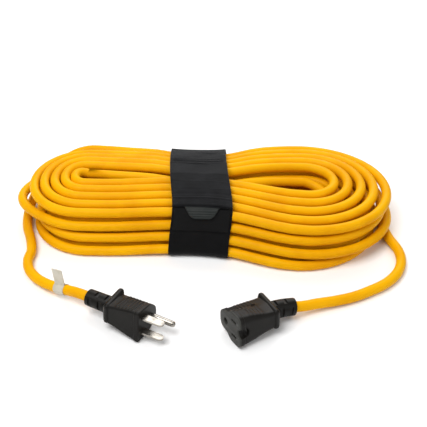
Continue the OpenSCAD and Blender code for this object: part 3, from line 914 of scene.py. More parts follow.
    def strand(self, x: Array, side: int, inset: float, level: int) -> Array:
        """Where a strand crosses the planes at x, as (y, z) for each of them.

        Args:
            x: places along the hank.
            side: -1 for the front run, 1 for the back.
            inset: strands from the outer edge.
            level: its layer.

        Returns:
            (n, 2) places.
        """
        level_here = np.full_like(x, float(level))
        right = self.half_width(inset, x / self.right_centre(level_here), self.right_fold,
                                self.right_gap)
        left = self.half_width(inset, -x / self.left_centre(level_here), self.left_fold,
                               self.left_gap)
        back = float(side > 0)
        y = (side * np.where(x > 0, right, left) * self.pulled(x, back)
             + self.lean * (level - self.middle_level))
        return np.stack([y, self.height(x, np.full_like(x, inset), level_here, back)], axis=-1)


# ---- places of the two ends -------------------------------------------------------------
@dataclass(frozen=True)
class Place:
    """Where a moulded end lies.

    The end's own frame has its face at the origin and points along +X. It is rolled
    about its axis, raised at the nose and turned to its heading, in degrees.

    Attributes:
        face: the middle of its face.
        heading: the way that it points, anticlockwise from +X.
        roll: how far it is rolled.
        nose: how far its nose is raised.
        body: length in front of the collar.
        collar: length of the collar.
        bend: how far the collar is bent at its rear, across and up, in degrees.
    """

    face: tuple[float, float, float]
    heading: float
    roll: float
    nose: float
    body: float
    collar: float
    bend: tuple[float, float] = (0.0, 0.0)

    def put(self, points: Array) -> Array:
        """Points of the end's own frame, moved to where it lies."""
        turn = turned(0, self.roll) @ turned(1, -self.nose) @ turned(2, self.heading)
        return points @ turn + np.array(self.face)

    def round_axis(self, back: Array, radial: Array) -> Array:
        """Points round the end's axis.

        The axis is straight in the body, an arc along the collar and straight again
        behind it. The radial places are carried along square to it.

        Args:
            back: (n,) distances behind the face, along the axis.
            radial: (n, m, 2) places across the axis, as (across, up).

        Returns:
            (n, m, 3) points where the end lies.
        """
        bend = np.radians(self.bend)
        size = max(float(np.linalg.norm(bend)), 1e-6)
        toward = bend / size
        share = np.clip((back - self.body) / self.collar, 0, None)
        angle = np.minimum(share, 1) * size
        beyond = np.maximum(share - 1, 0) * self.collar
        along = (np.minimum(back, self.body) + self.collar * np.sin(angle) / size
                 + beyond * np.cos(angle))
        off = self.collar * (1 - np.cos(angle)) / size + beyond * np.sin(angle)
        lean = radial @ toward
        x = lean * np.sin(angle)[:, None] - along[:, None]
        moved = off[:, None] + lean * (np.cos(angle)[:, None] - 1)
        across = radial + toward * moved[..., None]
        return self.put(np.concatenate([x[..., None], across], axis=-1))

    def on_axis(self, *behind: float) -> Array:
        """Points on the axis, so far behind the collar's rear."""
        back = self.body + self.collar + np.array(behind)
        return self.round_axis(back, np.zeros((len(back), 1, 2)))[:, 0]


PLUG_PLACE = Place((-36.1, -142.6, 12.1), -25.4, -8.0, 0.0, 31.0, 21.8)
CONNECTOR_PLACE = Place((25.0, -145.0, 12.4), -149.0, 9.0, 3.0, 35.0, 20.5, (13.0, -8.0))


@dataclass
class Cord:
    """The whole cord: a tail from the connector, the hank, and a tail to the plug.

    Attributes:
        winding: the hank's line.
        finishes: the finishes.
        sides: points round the cord.
        rings_a_turn: sections in a turn of the hank.
        rings_a_leg: sections between two points of a tail.
        lay: length in which the cores inside turn once.
        swell: share by which the radius grows over a core.
        plug_bend: points of the tail to the plug, past its start.
        connector_bend: points of the tail to the connector, past its start.
    """

    winding: Winding
    finishes: Finishes
    sides: int = 16
    rings_a_turn: int = 120
    rings_a_leg: int = 12
    lay: float = 150.0
    swell: float = 0.006
    plug_bend: Array = field(default_factory=lambda: np.array([
        [-145.6, -49, 4.1], [-143.6, -58.5, 4.1], [-143.8, -69, 4.1], [-140, -81, 4.1],
        [-132.2, -91, 4.4], [-123, -98.4, 5.4], [-114, -103.8, 6.7], [-102, -110, 9.1]]))
    connector_bend: Array = field(default_factory=lambda: np.array([
        [159.4, -28, 4.1], [163.6, -40, 4.1], [164.4, -52.5, 4.1], [161.6, -64, 4.1],
        [155, -75.5, 4.1], [145.5, -85.2, 4.1], [134, -93, 4.1], [120.5, -100.8, 4.3],
        [105.7, -106.9, 5.0], [91.5, -112, 6.2]]))

    def tail(self, start: Array, ahead: Array, bend: Array, place: Place) -> Array:
        """A tail from the hank to a moulded end, straight at both ends.

        Args:
            start: where the hank ends.
            ahead: level direction of the cord there.
            bend: points between.
            place: the moulded end.

        Returns:
            Its points, from the hank outwards.
        """
        d = self.winding.cord_d
        points = np.concatenate([
            [start - ahead * d, start], bend,
            place.on_axis(0.7 * d, 0.0, -d, -2 * d, 2 - place.collar)])
        return spline(points, self.rings_a_leg)

    def path(self) -> Array:
        """The cord's line from the connector to the plug.

        Returns:
            (n, 3) points.
        """
        w = self.winding
        count = int(round((w.last_turn - w.first_turn) * self.rings_a_turn)) + 1
        turns = np.linspace(w.first_turn, w.last_turn, count)
        wound = w.line(turns)
        level, near = np.array([1, 1, 0]), 0.01
        before, after = w.line(np.array([w.first_turn - near, w.first_turn + near])) * level
        back = unit(before - after)
        before, after = w.line(np.array([w.last_turn - near, w.last_turn + near]))
        on = unit((after - before) * level)
        head = self.tail(wound[0], back, self.connector_bend, CONNECTOR_PLACE)[::-1]
        foot = self.tail(wound[-1], on, self.plug_bend, PLUG_PLACE)
        return np.concatenate([head[:-1], wound, foot[1:]])

    def build(self) -> tuple[bpy.types.Object, Array]:
        """The cord as one tube that replaces the three solids, and its line.

        The section swells by a few hundredths of a millimetre over the three cores
        that are laid inside it.

        Returns:
            The piece, and its line in metres.
        """
        path = self.path()
        run = distances(path)
        angle = round_angles(self.sides)
        cores = np.cos(3 * (angle[None] - run[:, None] * 2 * math.pi / self.lay))
        half = self.winding.cord_d / 2
        grid = tube_grid(path, half * (1 + self.swell * cores), self.sides)
        uv = carried(run[:, None], angle[None] * half)
        piece = Solid().add(grid, Wrap.TUBE, uv, flip=True).piece("cord", None)
        seat(piece, self.finishes.jacket, "jacket", "root", "hank", "plug_tail",
             "connector_tail", "plug_jacket_end", "connector_jacket_end")
        LOG.info("cord: %.2f m", run[-1] * MM)
        return piece, (path + CENTRE) * MM


@dataclass(frozen=True)
class Grip:
    """Ribs along the sides of a moulding, between two places behind the face."""

    first: float
    last: float
    pitch: float
    height: float


FLANGE_BEHIND = np.array([-3.0, -1.8, -0.4, 0.6, 1.4, 2.0, 3.4, 4.0, 4.8, 7.4])
"""Sections of a flange, as distances in front of the body's rear."""
FLANGE_INSET = np.array([6.0, 4.2, 2.1, 0.8, 0.2, 0.0, 0.0, 0.2, 0.9, 4.6])
"""How far each of them is drawn in."""
WINDOW_ROWS = 4
"""Rows of windows along a collar."""
WINDOW_FIRST = 3.4
"""Start of the first row, from the cord's end of the collar."""
WINDOW_LENGTH = 2.8
WINDOW_EDGE = 0.14
"""How far a section stands on either side of a window's edge."""


@dataclass
class Moulding:
    """A moulded end: a tapering body, a finger flange and a collar with windows.

    The body is a stack of sections. Each is a ring of corners that is blended from the
    face to the flange, and every corner is rounded by a parabola.

    Attributes:
        name: the piece's name.
        place: where it lies, and its lengths.
        face: half of the corners at the face, as (across, up, cut), outer side last.
        neck: the same corners at the flange.
        waist: where the sides narrow, behind the face.
        wings: corners of the flange, as (across, up).
        grip: the ribs.
        rim: depth of the raised band round the face.
        flat: where the flat side lies.
        groove: radius of the half-round groove in the flat side, or 0.
        collar_front: the collar's radius at the flange.
        collar_rear: its radius at the cord.
        windows: depth of the collar's windows.
        drift: how far the neck sits above the axis.
        slant: how far the flange leans back on the ground side.
    """

    name: str
    place: Place
    face: Array
    neck: Array
    waist: tuple[float, float]
    wings: Array
    grip: Grip
    rim: float
    flat: float
    groove: float = 0.0
    collar_front: float = 7.0
    collar_rear: float = 6.6
    windows: float = 1.5
    drift: float = 1.2
    slant: float = 2.5

    @staticmethod
    def loop(half: Array) -> Array:
        """Both halves of a ring of corners, anticlockwise seen from the front."""
        return np.concatenate([half, half[..., ::-1, :] * [1, -1, 1]], axis=-2)

    @staticmethod
    def rounded(corners: Array, bend: int = 8, straight: int = 48) -> Array:
        """Closed rings with a parabola in place of each corner.

        Args:
            corners: (n, k, 3) corners as (across, up, cut along both edges).
            bend: points on a corner.
            straight: points on an edge.

        Returns:
            (n, k * (bend + straight), 2) points.
        """
        point, cut = corners[..., :2], corners[..., 2:]
        before = point + unit(np.roll(point, 1, 1) - point) * cut
        after = point + unit(np.roll(point, -1, 1) - point) * cut
        t = np.linspace(0, 1, bend)[:, None]
        curve = ((1 - t) ** 2 * before[:, :, None] + 2 * t * (1 - t) * point[:, :, None]
                 + t**2 * after[:, :, None])
        along = np.linspace(0, 1, straight + 2)[1:-1, None]
        line = after[:, :, None] * (1 - along) + np.roll(before, -1, 1)[:, :, None] * along
        return np.concatenate([curve, line], axis=2).reshape(len(corners), -1, 2)

    @staticmethod
    def drawn_in(ring: Array, inset: Array) -> Array:
        """Rings moved inwards, square to their own line.

        Args:
            ring: (n, m, 2) rings, anticlockwise.
            inset: (n,) or (n, m) distances.

        Returns:
            (n, m, 2) rings.
        """
        ahead = np.roll(ring, -1, axis=1) - np.roll(ring, 1, axis=1)
        outward = unit(np.stack([ahead[..., 1], -ahead[..., 0]], axis=-1))
        return ring - outward * np.reshape(inset, (len(ring), -1, 1))

    def ring(self, back: Array, inset: Array) -> Array:
        """Sections of the body.

        Args:
            back: (n,) distances behind the face.
            inset: (n,) how far each is drawn in.

        Returns:
            (n, m, 3) points in the end's own frame.
        """
        share = back / self.place.body
        side = ease((back - self.waist[0]) / (self.waist[1] - self.waist[0]))
        blend = np.stack([share, side, share], axis=-1)[:, None]
        corners = self.loop(self.face * (1 - blend) + self.neck * blend)
        ring = self.rounded(corners)
        g = self.grip
        turn = np.clip((back - g.first) / (g.last - g.first), 0, 1) * (g.last - g.first)
        rib = g.height * (1 - np.abs(np.cos(turn / g.pitch * math.pi)) ** 3)
        from_flat = np.abs(ring[..., 0] - self.flat)
        plain_middle, plain_flat, step_depth, step_run = 4.0, 1.6, 0.5, 0.7
        on_side = (ease((np.abs(ring[..., 1]) - plain_middle) / 2.0)
                   * ease((from_flat - plain_flat) / 2.5))
        step = step_depth * ease((back - self.rim) / step_run)
        ring = self.drawn_in(ring, inset[:, None] + step[:, None] - rib[:, None] * on_side)
        ring = ring + np.stack([0 * share, self.drift * ease(share)], axis=-1)[:, None]
        if self.groove:
            run_out, dome, near_flat = 5.5, 2.5, 4.0
            past = np.clip(back - run_out, 0, None) / dome
            r = self.groove * np.sqrt(np.clip(1 - past ** 2, 0, 1))
            flat = np.abs(ring[..., 0] - self.flat) < near_flat
            dip = np.sqrt(np.clip(r[:, None] ** 2 - ring[..., 1] ** 2, 0, None)) * flat
            ring = ring - np.stack([dip, 0 * dip], axis=-1)
        x = np.broadcast_to(-back[:, None], ring.shape[:2])
        return np.concatenate([x[..., None], ring], axis=-1)

    def stations(self) -> Array:
        """Places of the body's sections, from the flange to the face.

        Returns:
            (n,) distances behind the face.
        """
        spacing, end, step_spacing = 0.26, 1.4, 0.18
        ribs = np.arange(0, self.place.body - end, spacing)
        return np.unique(np.concatenate([ribs, self.rim + np.arange(5) * step_spacing]))[::-1]

    def flange(self) -> Array:
        """The finger flange: rings of corners that swell to a plate and shrink again.

        Returns:
            (n, m, 3) points.
        """
        rounding = 0.35
        back = self.place.body - FLANGE_BEHIND
        size = np.abs(self.wings)[None] - FLANGE_INSET[:, None, None]
        half = np.concatenate([np.sign(self.wings) * size, rounding * size.min(-1)[..., None]],
                              axis=-1)
        ring = self.rounded(self.loop(half), 8, 12) + np.array([0.0, self.drift])
        lean = self.slant * np.abs(ring[..., 0] - self.flat) / (2 * abs(self.flat))
        return self.place.put(np.concatenate([(-back[:, None] - lean)[..., None], ring], axis=-1))

    def collar(self, sides: int = 96) -> Array:
        """The strain relief: a tapering tube with flat-bottomed windows.

        Windows lie by turns on both sides and above and below. Inside one, the surface
        is the plane that stands a window's depth below the tube.

        Args:
            sides: points round the tube.

        Returns:
            (n, sides, 3) points.
        """
        length = self.place.collar
        lip_run, lip, half_wide = 0.7, 0.8, 4.0
        starts = WINDOW_FIRST + np.arange(WINDOW_ROWS) * (length - 4) / WINDOW_ROWS
        edges = np.concatenate([starts, starts + WINDOW_LENGTH])
        at = np.unique(np.concatenate([
            [0.0, 0.08, 0.3, lip_run], np.linspace(1.0, length + 3, 34),
            edges - WINDOW_EDGE, edges + WINDOW_EDGE]))
        angle = round_angles(sides)
        full = self.collar_rear + (self.collar_front - self.collar_rear) * at / length
        end = lip * (1 - quarter(at / lip_run))
        radius = np.repeat((full - end)[:, None], sides, axis=1)
        for k, start in enumerate(starts):
            inside = (at > start) & (at < start + WINDOW_LENGTH)
            lean = np.abs(np.sin(angle) if k % 2 else np.cos(angle))
            plane = (self.collar_front - self.windows) / np.maximum(lean, 0.3)
            chord = np.abs(np.cos(angle) if k % 2 else np.sin(angle)) * self.collar_front
            cut = np.where(chord < half_wide, plane, np.inf)
            radius = np.where(inside[:, None], np.minimum(radius, cut[None]), radius)
        radial = radius[..., None] * spokes(angle)
        return self.place.round_axis(self.place.body + length - at, radial)

    def build(self, material: bpy.types.Material, recess: float,
              *nodes: str) -> bpy.types.Object:
        """The moulding as one piece, in place of its solid.

        Args:
            material: its finish.
            recess: depth of the seat for a separate face, or 0 for a closed front.
            nodes: the solids that it stands for.

        Returns:
            The piece.
        """
        back = self.stations()
        inset = np.zeros(len(back))
        if recess:
            edge, wall = 1.2, 1.6
            back = np.append(back[back > edge + 0.1], [edge, edge, recess])
            inset = np.append(np.zeros(len(back) - 2), [wall, wall])
        else:
            size, inner = 0.7, 2.0
            bevel = np.linspace(0, math.pi / 2, 5)
            back = np.concatenate([back[back > size + 0.05], size * (1 - np.sin(bevel)), [0.0]])
            inset = np.concatenate([np.zeros(len(back) - len(bevel) - 1),
                                    size * (1 - np.cos(bevel)), [inner]])
        solid = Solid()
        for grid in (self.place.put(self.ring(back, inset)), self.flange(), self.collar()):
            solid.add(grid, Wrap.TUBE)
        piece = solid.piece(self.name, 32.0)
        seat(piece, material, "moulding", "root", *nodes)
        return piece

    def build_face(self, material: bpy.types.Material, holes: Sequence[Array],
                   depth: float, recess: float, *nodes: str) -> None:
        """The separate face, with a well behind each hole.

        Args:
            material: its finish.
            holes: outlines of the holes as (n, 2) points, anticlockwise.
            depth: depth of the wells.
            recess: how far the face reaches into the moulding.
            nodes: the solids that it stands for.
        """
        bevel = np.linspace(0, math.pi / 2, 4)
        edge, wall, play, size = 1.25, 1.7, 0.02, 0.4
        back = np.concatenate([[recess, edge, edge, size + 0.1],
                               size * (1 - np.sin(bevel[1:]))])
        inset = np.concatenate([[wall, wall, play, play],
                                play + size * (1 - np.cos(bevel[1:]))])
        wall = self.ring(back, inset)
        solid = Solid()
        rows, columns = wall.shape[:2]
        points = [wall.reshape(-1, 3), wall[0].mean(0)[None]]
        around = np.arange(columns)
        faces = [grid_faces(rows, columns, Wrap.TUBE),
                 fan(rows * columns, around)[:, [0, 2, 1]]]
        count = rows * columns + 1
        front = [(rows - 1) * columns + around]
        for hole in holes:
            size = len(hole)
            flare = 0.25
            x = np.array([0.0, -flare, -depth])
            grow = np.array([flare, 0.0, 0.0])
            middle = hole.mean(0)
            rim = np.stack([middle + (hole - middle) * (1 + g / 2.0) for g in grow])
            well = np.concatenate([np.broadcast_to(x[:, None, None], (3, size, 1)), rim], axis=2)
            points += [well.reshape(-1, 3), well[2].mean(0)[None]]
            ring = np.arange(size)
            faces.append(grid_faces(3, size, Wrap.TUBE) + count)
            faces.append(fan(count + 3 * size, count + 2 * size + ring))
            front.append(count + ring)
            count += 3 * size + 1
        every = np.concatenate(points)
        flat = tessellate_polygon([[Vector(every[i]) for i in ring.tolist()] for ring in front])
        index = np.concatenate(front)
        plane = index[np.array(flat)]
        corner = every[plane]
        turn = np.cross(corner[:, 1] - corner[:, 0], corner[:, 2] - corner[:, 0])[:, 0]
        plane = np.where(turn[:, None] > 0, plane, plane[:, ::-1])
        solid.vertices, solid.faces = [self.place.put(every)], faces + [plane]
        solid.uv = [np.zeros((len(every), 2))]
        piece = solid.piece(self.name + "_face", 32.0)
        seat(piece, material, "carrier", "root", *nodes)


def plug_moulding() -> Moulding:
    """The plug: its flat side at -Y, and a lobe round the ground pin at +Y."""
    return Moulding(
        "plug_moulding", PLUG_PLACE,
        np.array([[13.2, 5.0, 4.6], [4.4, 11.9, 3.2], [-13.0, 13.5, 2.4]]),
        np.array([[13.2, 4.6, 4.2], [4.4, 7.4, 3.2], [-13.0, 8.3, 2.4]]),
        (0.0, 31.0), np.array([[13.3, 8.6], [-13.4, 8.3]]),
        Grip(5.5, 22.3, 2.8, 0.55), 3.6, -13.0)


def connector_moulding() -> Moulding:
    """The connector: its flat side at +Y, and a lobe round the ground hole at -Y."""
    return Moulding(
        "connector_moulding", CONNECTOR_PLACE,
        np.array([[15.4, 12.9, 6.0], [0.4, 12.9, 3.2], [-3.4, 8.9, 2.2], [-14.5, 7.3, 6.2]]),
        np.array([[14.3, 7.8, 3.0], [0.4, 8.2, 2.0], [-3.4, 7.8, 1.2], [-14.3, 6.4, 5.6]]),
        (3.0, 31.0), np.array([[14.8, 8.3], [-14.8, 8.1]]),
        Grip(9.0, 23.0, 2.8, 0.22), 4.0, 15.2, groove=3.9, collar_front=7.2,
        collar_rear=6.8)


def slot_outlines(steps: int = 20) -> list[Array]:
    """Holes of the connector's face: two slots with rounded corners, and a round one.

    Args:
        steps: points on each outline.

    Returns:
        An (n, 2) outline for each hole, as (across, up).
    """
    circle = spokes(round_angles(steps))
    box = np.sign(circle) * np.abs(circle) ** SLOT_SQUARENESS
    slots = [box * SLOT_HALF + [BLADE_UP, BLADE_ACROSS * side] for side in (-1, 1)]
    return slots + [circle * GROUND_HOLE + [-BLADE_UP, 0.0]]


# ---- the label --------------------------------------------------------------------------
LABEL_PLACE = np.array([-108.0, -106.9, 7.9])
"""The place on the cord that the label is folded round."""


def build_label(cord_line: Array, finishes: Finishes) -> bpy.types.Object:
    """The label: film folded round the cord, with its two ends stuck together as a flag.

    Args:
        cord_line: the cord's line in metres.
        finishes: the finishes.

    Returns:
        The piece.
    """
    line = cord_line / MM - CENTRE
    k = int(np.argmin(np.linalg.norm(line - LABEL_PLACE, axis=1)))
    ahead = unit(line[k + 3] - line[k - 3])
    side = unit(np.cross(ahead, [0.0, 0.0, 1.0]))
    up = np.cross(side, ahead)
    film, radius, height, width = 0.34, 4.4, 15.0, 10.0
    run = np.linspace(0, 1, 28)
    open_angle = math.radians(8)
    turn = np.linspace(math.pi / 2 + open_angle, 2.5 * math.pi - open_angle, 72)
    round_it = spokes(turn) * radius
    top = radius + height
    rise = round_it[-1, 1] + (top - round_it[-1, 1]) * run[1:]
    gap = np.maximum(film * 0.55, round_it[-1, 0] * (1 - ease(run[1:] / 0.18)))
    right = np.stack([gap, rise], axis=1)
    profile = np.concatenate([right[::-1] * [-1, 1], round_it, right])
    tangent = unit(np.gradient(profile, axis=0))
    normal = np.stack([tangent[:, 1], -tangent[:, 0]], axis=1)
    across = crowded(15)
    near = np.sqrt(1 - np.clip((np.abs(across) - 0.97) / 0.03, 0, 1) ** 2)
    along = np.concatenate([across, across[::-1]]) * width / 2
    depth = np.concatenate([near, -near[::-1]]) * film / 2
    yz = profile[:, None] + normal[:, None] * depth[None, :, None]
    flag = np.clip((yz[..., 1] - radius) / height, 0, 1)
    bow, wave, cup, drift = 1.3, 0.35, 0.25, 2.0
    curl = (bow * flag**2 + wave * np.sin(flag * 5.0) * flag
            + cup * flag * (along / width) ** 2)
    slant = along[None] + drift * flag
    grid = (line[k] + ahead * slant[..., None] + side * (yz[..., :1] + curl[..., None])
            + up * yz[..., 1:])
    uv = np.stack(np.broadcast_arrays(along[None] * MM, np.arange(len(profile))[:, None] * 5e-4),
                  axis=-1)
    piece = Solid().add(grid, Wrap.TUBE, uv).piece("label_film", 50.0)
    seat(piece, finishes.label, "label", "root", "label_flag")
    return piece


# ---- the strap --------------------------------------------------------------------------
@dataclass(frozen=True)
class Layer:
    """One cloth layer of the strap: its radii over the strands, and its width."""

    inner: float
    thick: float
    width: float


Stations = tuple[Array, Array, Array]
"""Places round the strap: strand, share of its corner and share of its edge."""


@dataclass
class Strap:
    """A hook-and-loop strap round the waist.

    Its section is the outline at an even distance round the strands that it bears on,
    worked out anew at each place across its width, so it follows the swelling hank.

    Attributes:
        winding: the hank's line.
        finishes: the finishes.
        middle: the strap's middle along the hank.
        width: its width.
        thick: thickness of the webbing.
        tape: thickness of the fastener tapes.
        gap: gap between the two tapes.
        clear: gap between the cord and the band.
        hem_angle: how far round the front shoulder the flap ends, in degrees.
        fold_y: where the flap folds, behind the middle of the top.
        hem_depth: depth of the hem.
        row_gap: distance of the hem's upper stitches from its seam.
        corner_steps: stations round the corner at a strand.
        edge_steps: stations between two strands.
        edge_round: width over which the strap's edges are rounded.
        skew: how far it bows to the right over the front shoulder.
        drag: how far its back is dragged to the left.
    """

    winding: Winding
    finishes: Finishes
    middle: float = -4.0
    width: float = 50.0
    thick: float = 1.3
    tape: float = 0.9
    gap: float = 0.3
    clear: float = 0.3
    hem_angle: float = 6.0
    fold_y: float = 18.6
    hem_depth: float = 9.0
    row_gap: float = 1.6
    corner_steps: int = 10
    edge_steps: int = 5
    edge_round: float = 0.9
    skew: float = 3.2
    drag: float = 6.0

    def __post_init__(self) -> None:
        """Works out the layers from the cord outwards."""
        base = self.winding.cord_d / 2 + self.clear
        self.band = Layer(base, self.thick, self.width)
        self.loops = Layer(base + self.thick, self.tape, self.width - 4)
        self.hooks = Layer(self.loops.inner + self.tape + self.gap, self.tape, self.width - 4)
        self.flap = Layer(self.hooks.inner + self.tape, self.thick, self.width)

    def centres(self, x: Array) -> Array:
        """Strands that the strap bears on, anticlockwise from the front's foot.

        Args:
            x: places along the hank, (m,).

        Returns:
            (n, m, 2) places as (y, z).
        """
        w = self.winding
        top = w.layers - 1
        rows = [w.strand(x, -1, 0.5, 0), w.strand(x, 1, 0.0, 0)]
        rows += [w.strand(x, 1, float(n), top) for n in range(w.loops)]
        rows += [w.strand(x, -1, n + 0.5, top) for n in reversed(range(w.loops))]
        return np.stack(rows)

    def stations(self) -> Stations:
        """Stations round the outline: strand, share of its corner, share of its edge.

        Returns:
            The stations, anticlockwise from the front's foot.
        """
        corner = np.linspace(0, 1, self.corner_steps, endpoint=False)
        edge = np.linspace(0, 1, self.edge_steps, endpoint=False)
        part = np.concatenate([corner, np.ones(self.edge_steps)])
        along = np.concatenate([np.zeros(self.corner_steps), edge])
        return (np.repeat(np.arange(self.count), len(part)), np.tile(part, self.count),
                np.tile(along, self.count))

    def outline(self, x: Array, radius: Array, strand: Array, part: Array,
                along: Array) -> Array:
        """Points on the outline at a radius round the strands.

        Args:
            x: places along the hank, (m,).
            radius: (n, m) distances from the strands' middles.
            strand: (n,) strand of each station.
            part: (n,) share of the corner round it that is turned.
            along: (n,) share of the straight to the next strand.

        Returns:
            (n, m, 3) points.
        """
        c = self.centres(x)
        nxt = np.roll(c, -1, axis=0)
        angle = np.arctan2(nxt[..., 1] - c[..., 1], nxt[..., 0] - c[..., 0]) - math.pi / 2
        before = np.roll(angle, 1, axis=0)
        turn = np.mod(angle - before + math.pi, 2 * math.pi) - math.pi
        a = before[strand] + part[:, None] * turn[strand]
        middle = c[strand] + along[:, None, None] * (nxt[strand] - c[strand])
        yz = middle + radius[..., None] * spokes(a)
        xs = np.broadcast_to(x, a.shape)
        return np.concatenate([xs[..., None], yz], axis=-1)

    def lean(self, points: Array) -> Array:
        """Bows the strap to the right over the front shoulder and drags its back left.

        Args:
            points: (..., 3) points.

        Returns:
            The moved points.
        """
        shoulder_y, shoulder_z = -45, 42
        behind = points[..., 1] - shoulder_y
        near = np.exp(-((behind / 30) ** 2 + ((points[..., 2] - shoulder_z) / 22) ** 2))
        back = ease(behind / 110) * ease(points[..., 2] / 40)
        return points + np.stack([self.skew * near - self.drag * back, 0 * near, 0 * near],
                                 axis=-1)

    def ripple(self, x: Array, turn: Array) -> Array:
        """Small waves of the cloth, the same for every layer: a sum of slow sines."""
        return (0.18 * np.sin(x / 9.0 + turn * 9.0) + 0.14 * np.sin(x / 17.0 - turn * 23.0)
                + 0.10 * np.sin(x / 5.3 + turn * 31.0))

    def section(self, width: float, thick: float, steps: int = 22) -> tuple[Array, Array]:
        """A flat strip's section with rounded edges: places across, and depths.

        The depth is half an ellipse over the last millimetre at each side.

        Args:
            width: its width.
            thick: its thickness.
            steps: points on each side.

        Returns:
            Places along the hank, and depths from the inner side.
        """
        across = crowded(steps) * width / 2
        near = np.clip((np.abs(across) - (width / 2 - self.edge_round)) / self.edge_round, 0, 1)
        half = thick / 2 * np.sqrt(1 - near**2)
        x = np.concatenate([across, across[::-1]])
        depth = np.concatenate([thick / 2 + half, (thick / 2 - half)[::-1]])
        return self.middle + x, depth

    def strip(self, layer: Layer, stations: Stations,
              swell: Optional[Array] = None, width: Optional[Array] = None,
              taper: Optional[Array] = None) -> tuple[Array, Array]:
        """A layer along some stations, as a grid of closed sections with a map.

        Args:
            layer: its radii and width.
            stations: strand, part and along of each station.
            swell: extra height of the outer side at each station.
            width: share of the full width at each station.
            taper: share of the thickness at each station.

        Returns:
            (n, m, 3) points and their (n, m, 2) map in metres.
        """
        x, depth = self.section(layer.width, layer.thick)
        n = len(stations[0])
        outer = depth / layer.thick
        swell = np.zeros(n) if swell is None else swell
        width = np.ones(n) if width is None else width
        taper = np.ones(n) if taper is None else taper
        depths = ((depth[None] - layer.thick / 2) * taper[:, None] + layer.thick / 2
                  + swell[:, None] * outer[None])
        turn = self.places(stations) / self.count
        wave = self.ripple(x[None], turn[:, None])
        points = self.outline(x, layer.inner + depths + wave, *stations)
        points[..., 0] = self.middle + (points[..., 0] - self.middle) * width[:, None]
        run = distances(points[:, len(x) // 4])
        return self.lean(points), carried((x - self.middle)[None], run[:, None])

    @staticmethod
    def places(stations: Stations) -> Array:
        """Stations counted in strands: half of one is its corner, half its edge."""
        strand, part, along = stations
        return strand + 0.5 * part + 0.5 * along

    def split(self, place: Array) -> Stations:
        """The stations at places that are counted in strands.

        Args:
            place: (n,) places.

        Returns:
            The stations.
        """
        whole = np.minimum(np.floor(place + 1e-9), self.shoulder)
        rest = np.clip(place - whole, 0, 1)
        return whole.astype(int), np.clip(rest * 2, 0, 1), np.clip(rest * 2 - 1, 0, 1)

    def cut(self, start: float, stop: float, extra: int = 0) -> Stations:
        """The stations between two places, with some even ones added.

        Args:
            start: the first place, in strands.
            stop: the last.
            extra: even places to add.

        Returns:
            The stations.
        """
        place = self.places(self.stations())
        inside = place[(place > start) & (place < stop)]
        return self.split(np.unique(np.concatenate(
            [[start], inside, [stop], np.linspace(start, stop, extra)])))

    @property
    def count(self) -> int:
        """How many strands the strap bears on."""
        return 2 + 2 * self.winding.loops

    @property
    def shoulder(self) -> int:
        """Index of the top strand at the front."""
        return self.count - 1

    def place_at(self, y: float, radius: float) -> float:
        """The station on the top whose outline is over y, found by halving.

        Args:
            y: place across the hank.
            radius: distance from the strands' middles.

        Returns:
            The place, in strands.
        """
        low, high = 2.0, float(self.shoulder)
        x = np.array([self.middle])
        for _ in range(40):
            mid = (low + high) / 2
            at = self.cut(mid, mid)
            here = self.outline(x, np.full((len(at[0]), 1), radius), *at)[0, 0, 1]
            low, high = (mid, high) if here > y else (low, mid)
        return low

    def hem_place(self) -> float:
        """The station of the flap's free edge, round the front shoulder.

        Returns:
            The place, in strands.
        """
        x = np.array([self.middle])
        c = self.centres(x)[:, 0]
        edge = c[self.shoulder] - c[self.shoulder - 1]
        start = math.degrees(math.atan2(edge[1], edge[0])) - 90
        foot = c[0] - c[self.shoulder]
        stop = math.degrees(math.atan2(foot[1], foot[0])) - 90
        want = max(90 + self.hem_angle, start % 360 + 1.0)
        return self.shoulder + 0.5 * (want - start % 360) / ((stop - start) % 360)

    def finish_layer(self, name: str, grids: Sequence[tuple[Array, Array]],
                     material: bpy.types.Material, slot: str, body: Optional[str],
                     *nodes: str, wrap: Wrap = Wrap.TUBE) -> bpy.types.Object:
        """Makes one piece of the strap, dressed, on its body if it has one alone.

        Args:
            name: the piece's name.
            grids: closed grids with their maps.
            material: its finish.
            slot: the record's slot.
            body: its body, or None.
            nodes: the solids that it stands for.
            wrap: how the grids close.

        Returns:
            The piece.
        """
        solid = Solid()
        for grid, uv in grids:
            solid.add(grid, wrap, uv, flip=True)
        piece = solid.piece(name, 50.0)
        seat(piece, material, slot, body, *nodes)
        return piece

    @staticmethod
    def declare(piece: bpy.types.Object, grid: Array, rests_on: Sequence[str],
                ring: bool = False) -> None:
        """Works out the line along a piece's outer side, closed if its ends meet; the line is not
        kept.

        Args:
            piece: the piece; not used.
            grid: its sections, whose outer side gives its length.
            rests_on: what it lies on; not used.
            ring: whether its ends meet.
        """
        line = grid[:, grid.shape[1] // 4]
        if ring:
            line = np.concatenate([line, line[:1]])

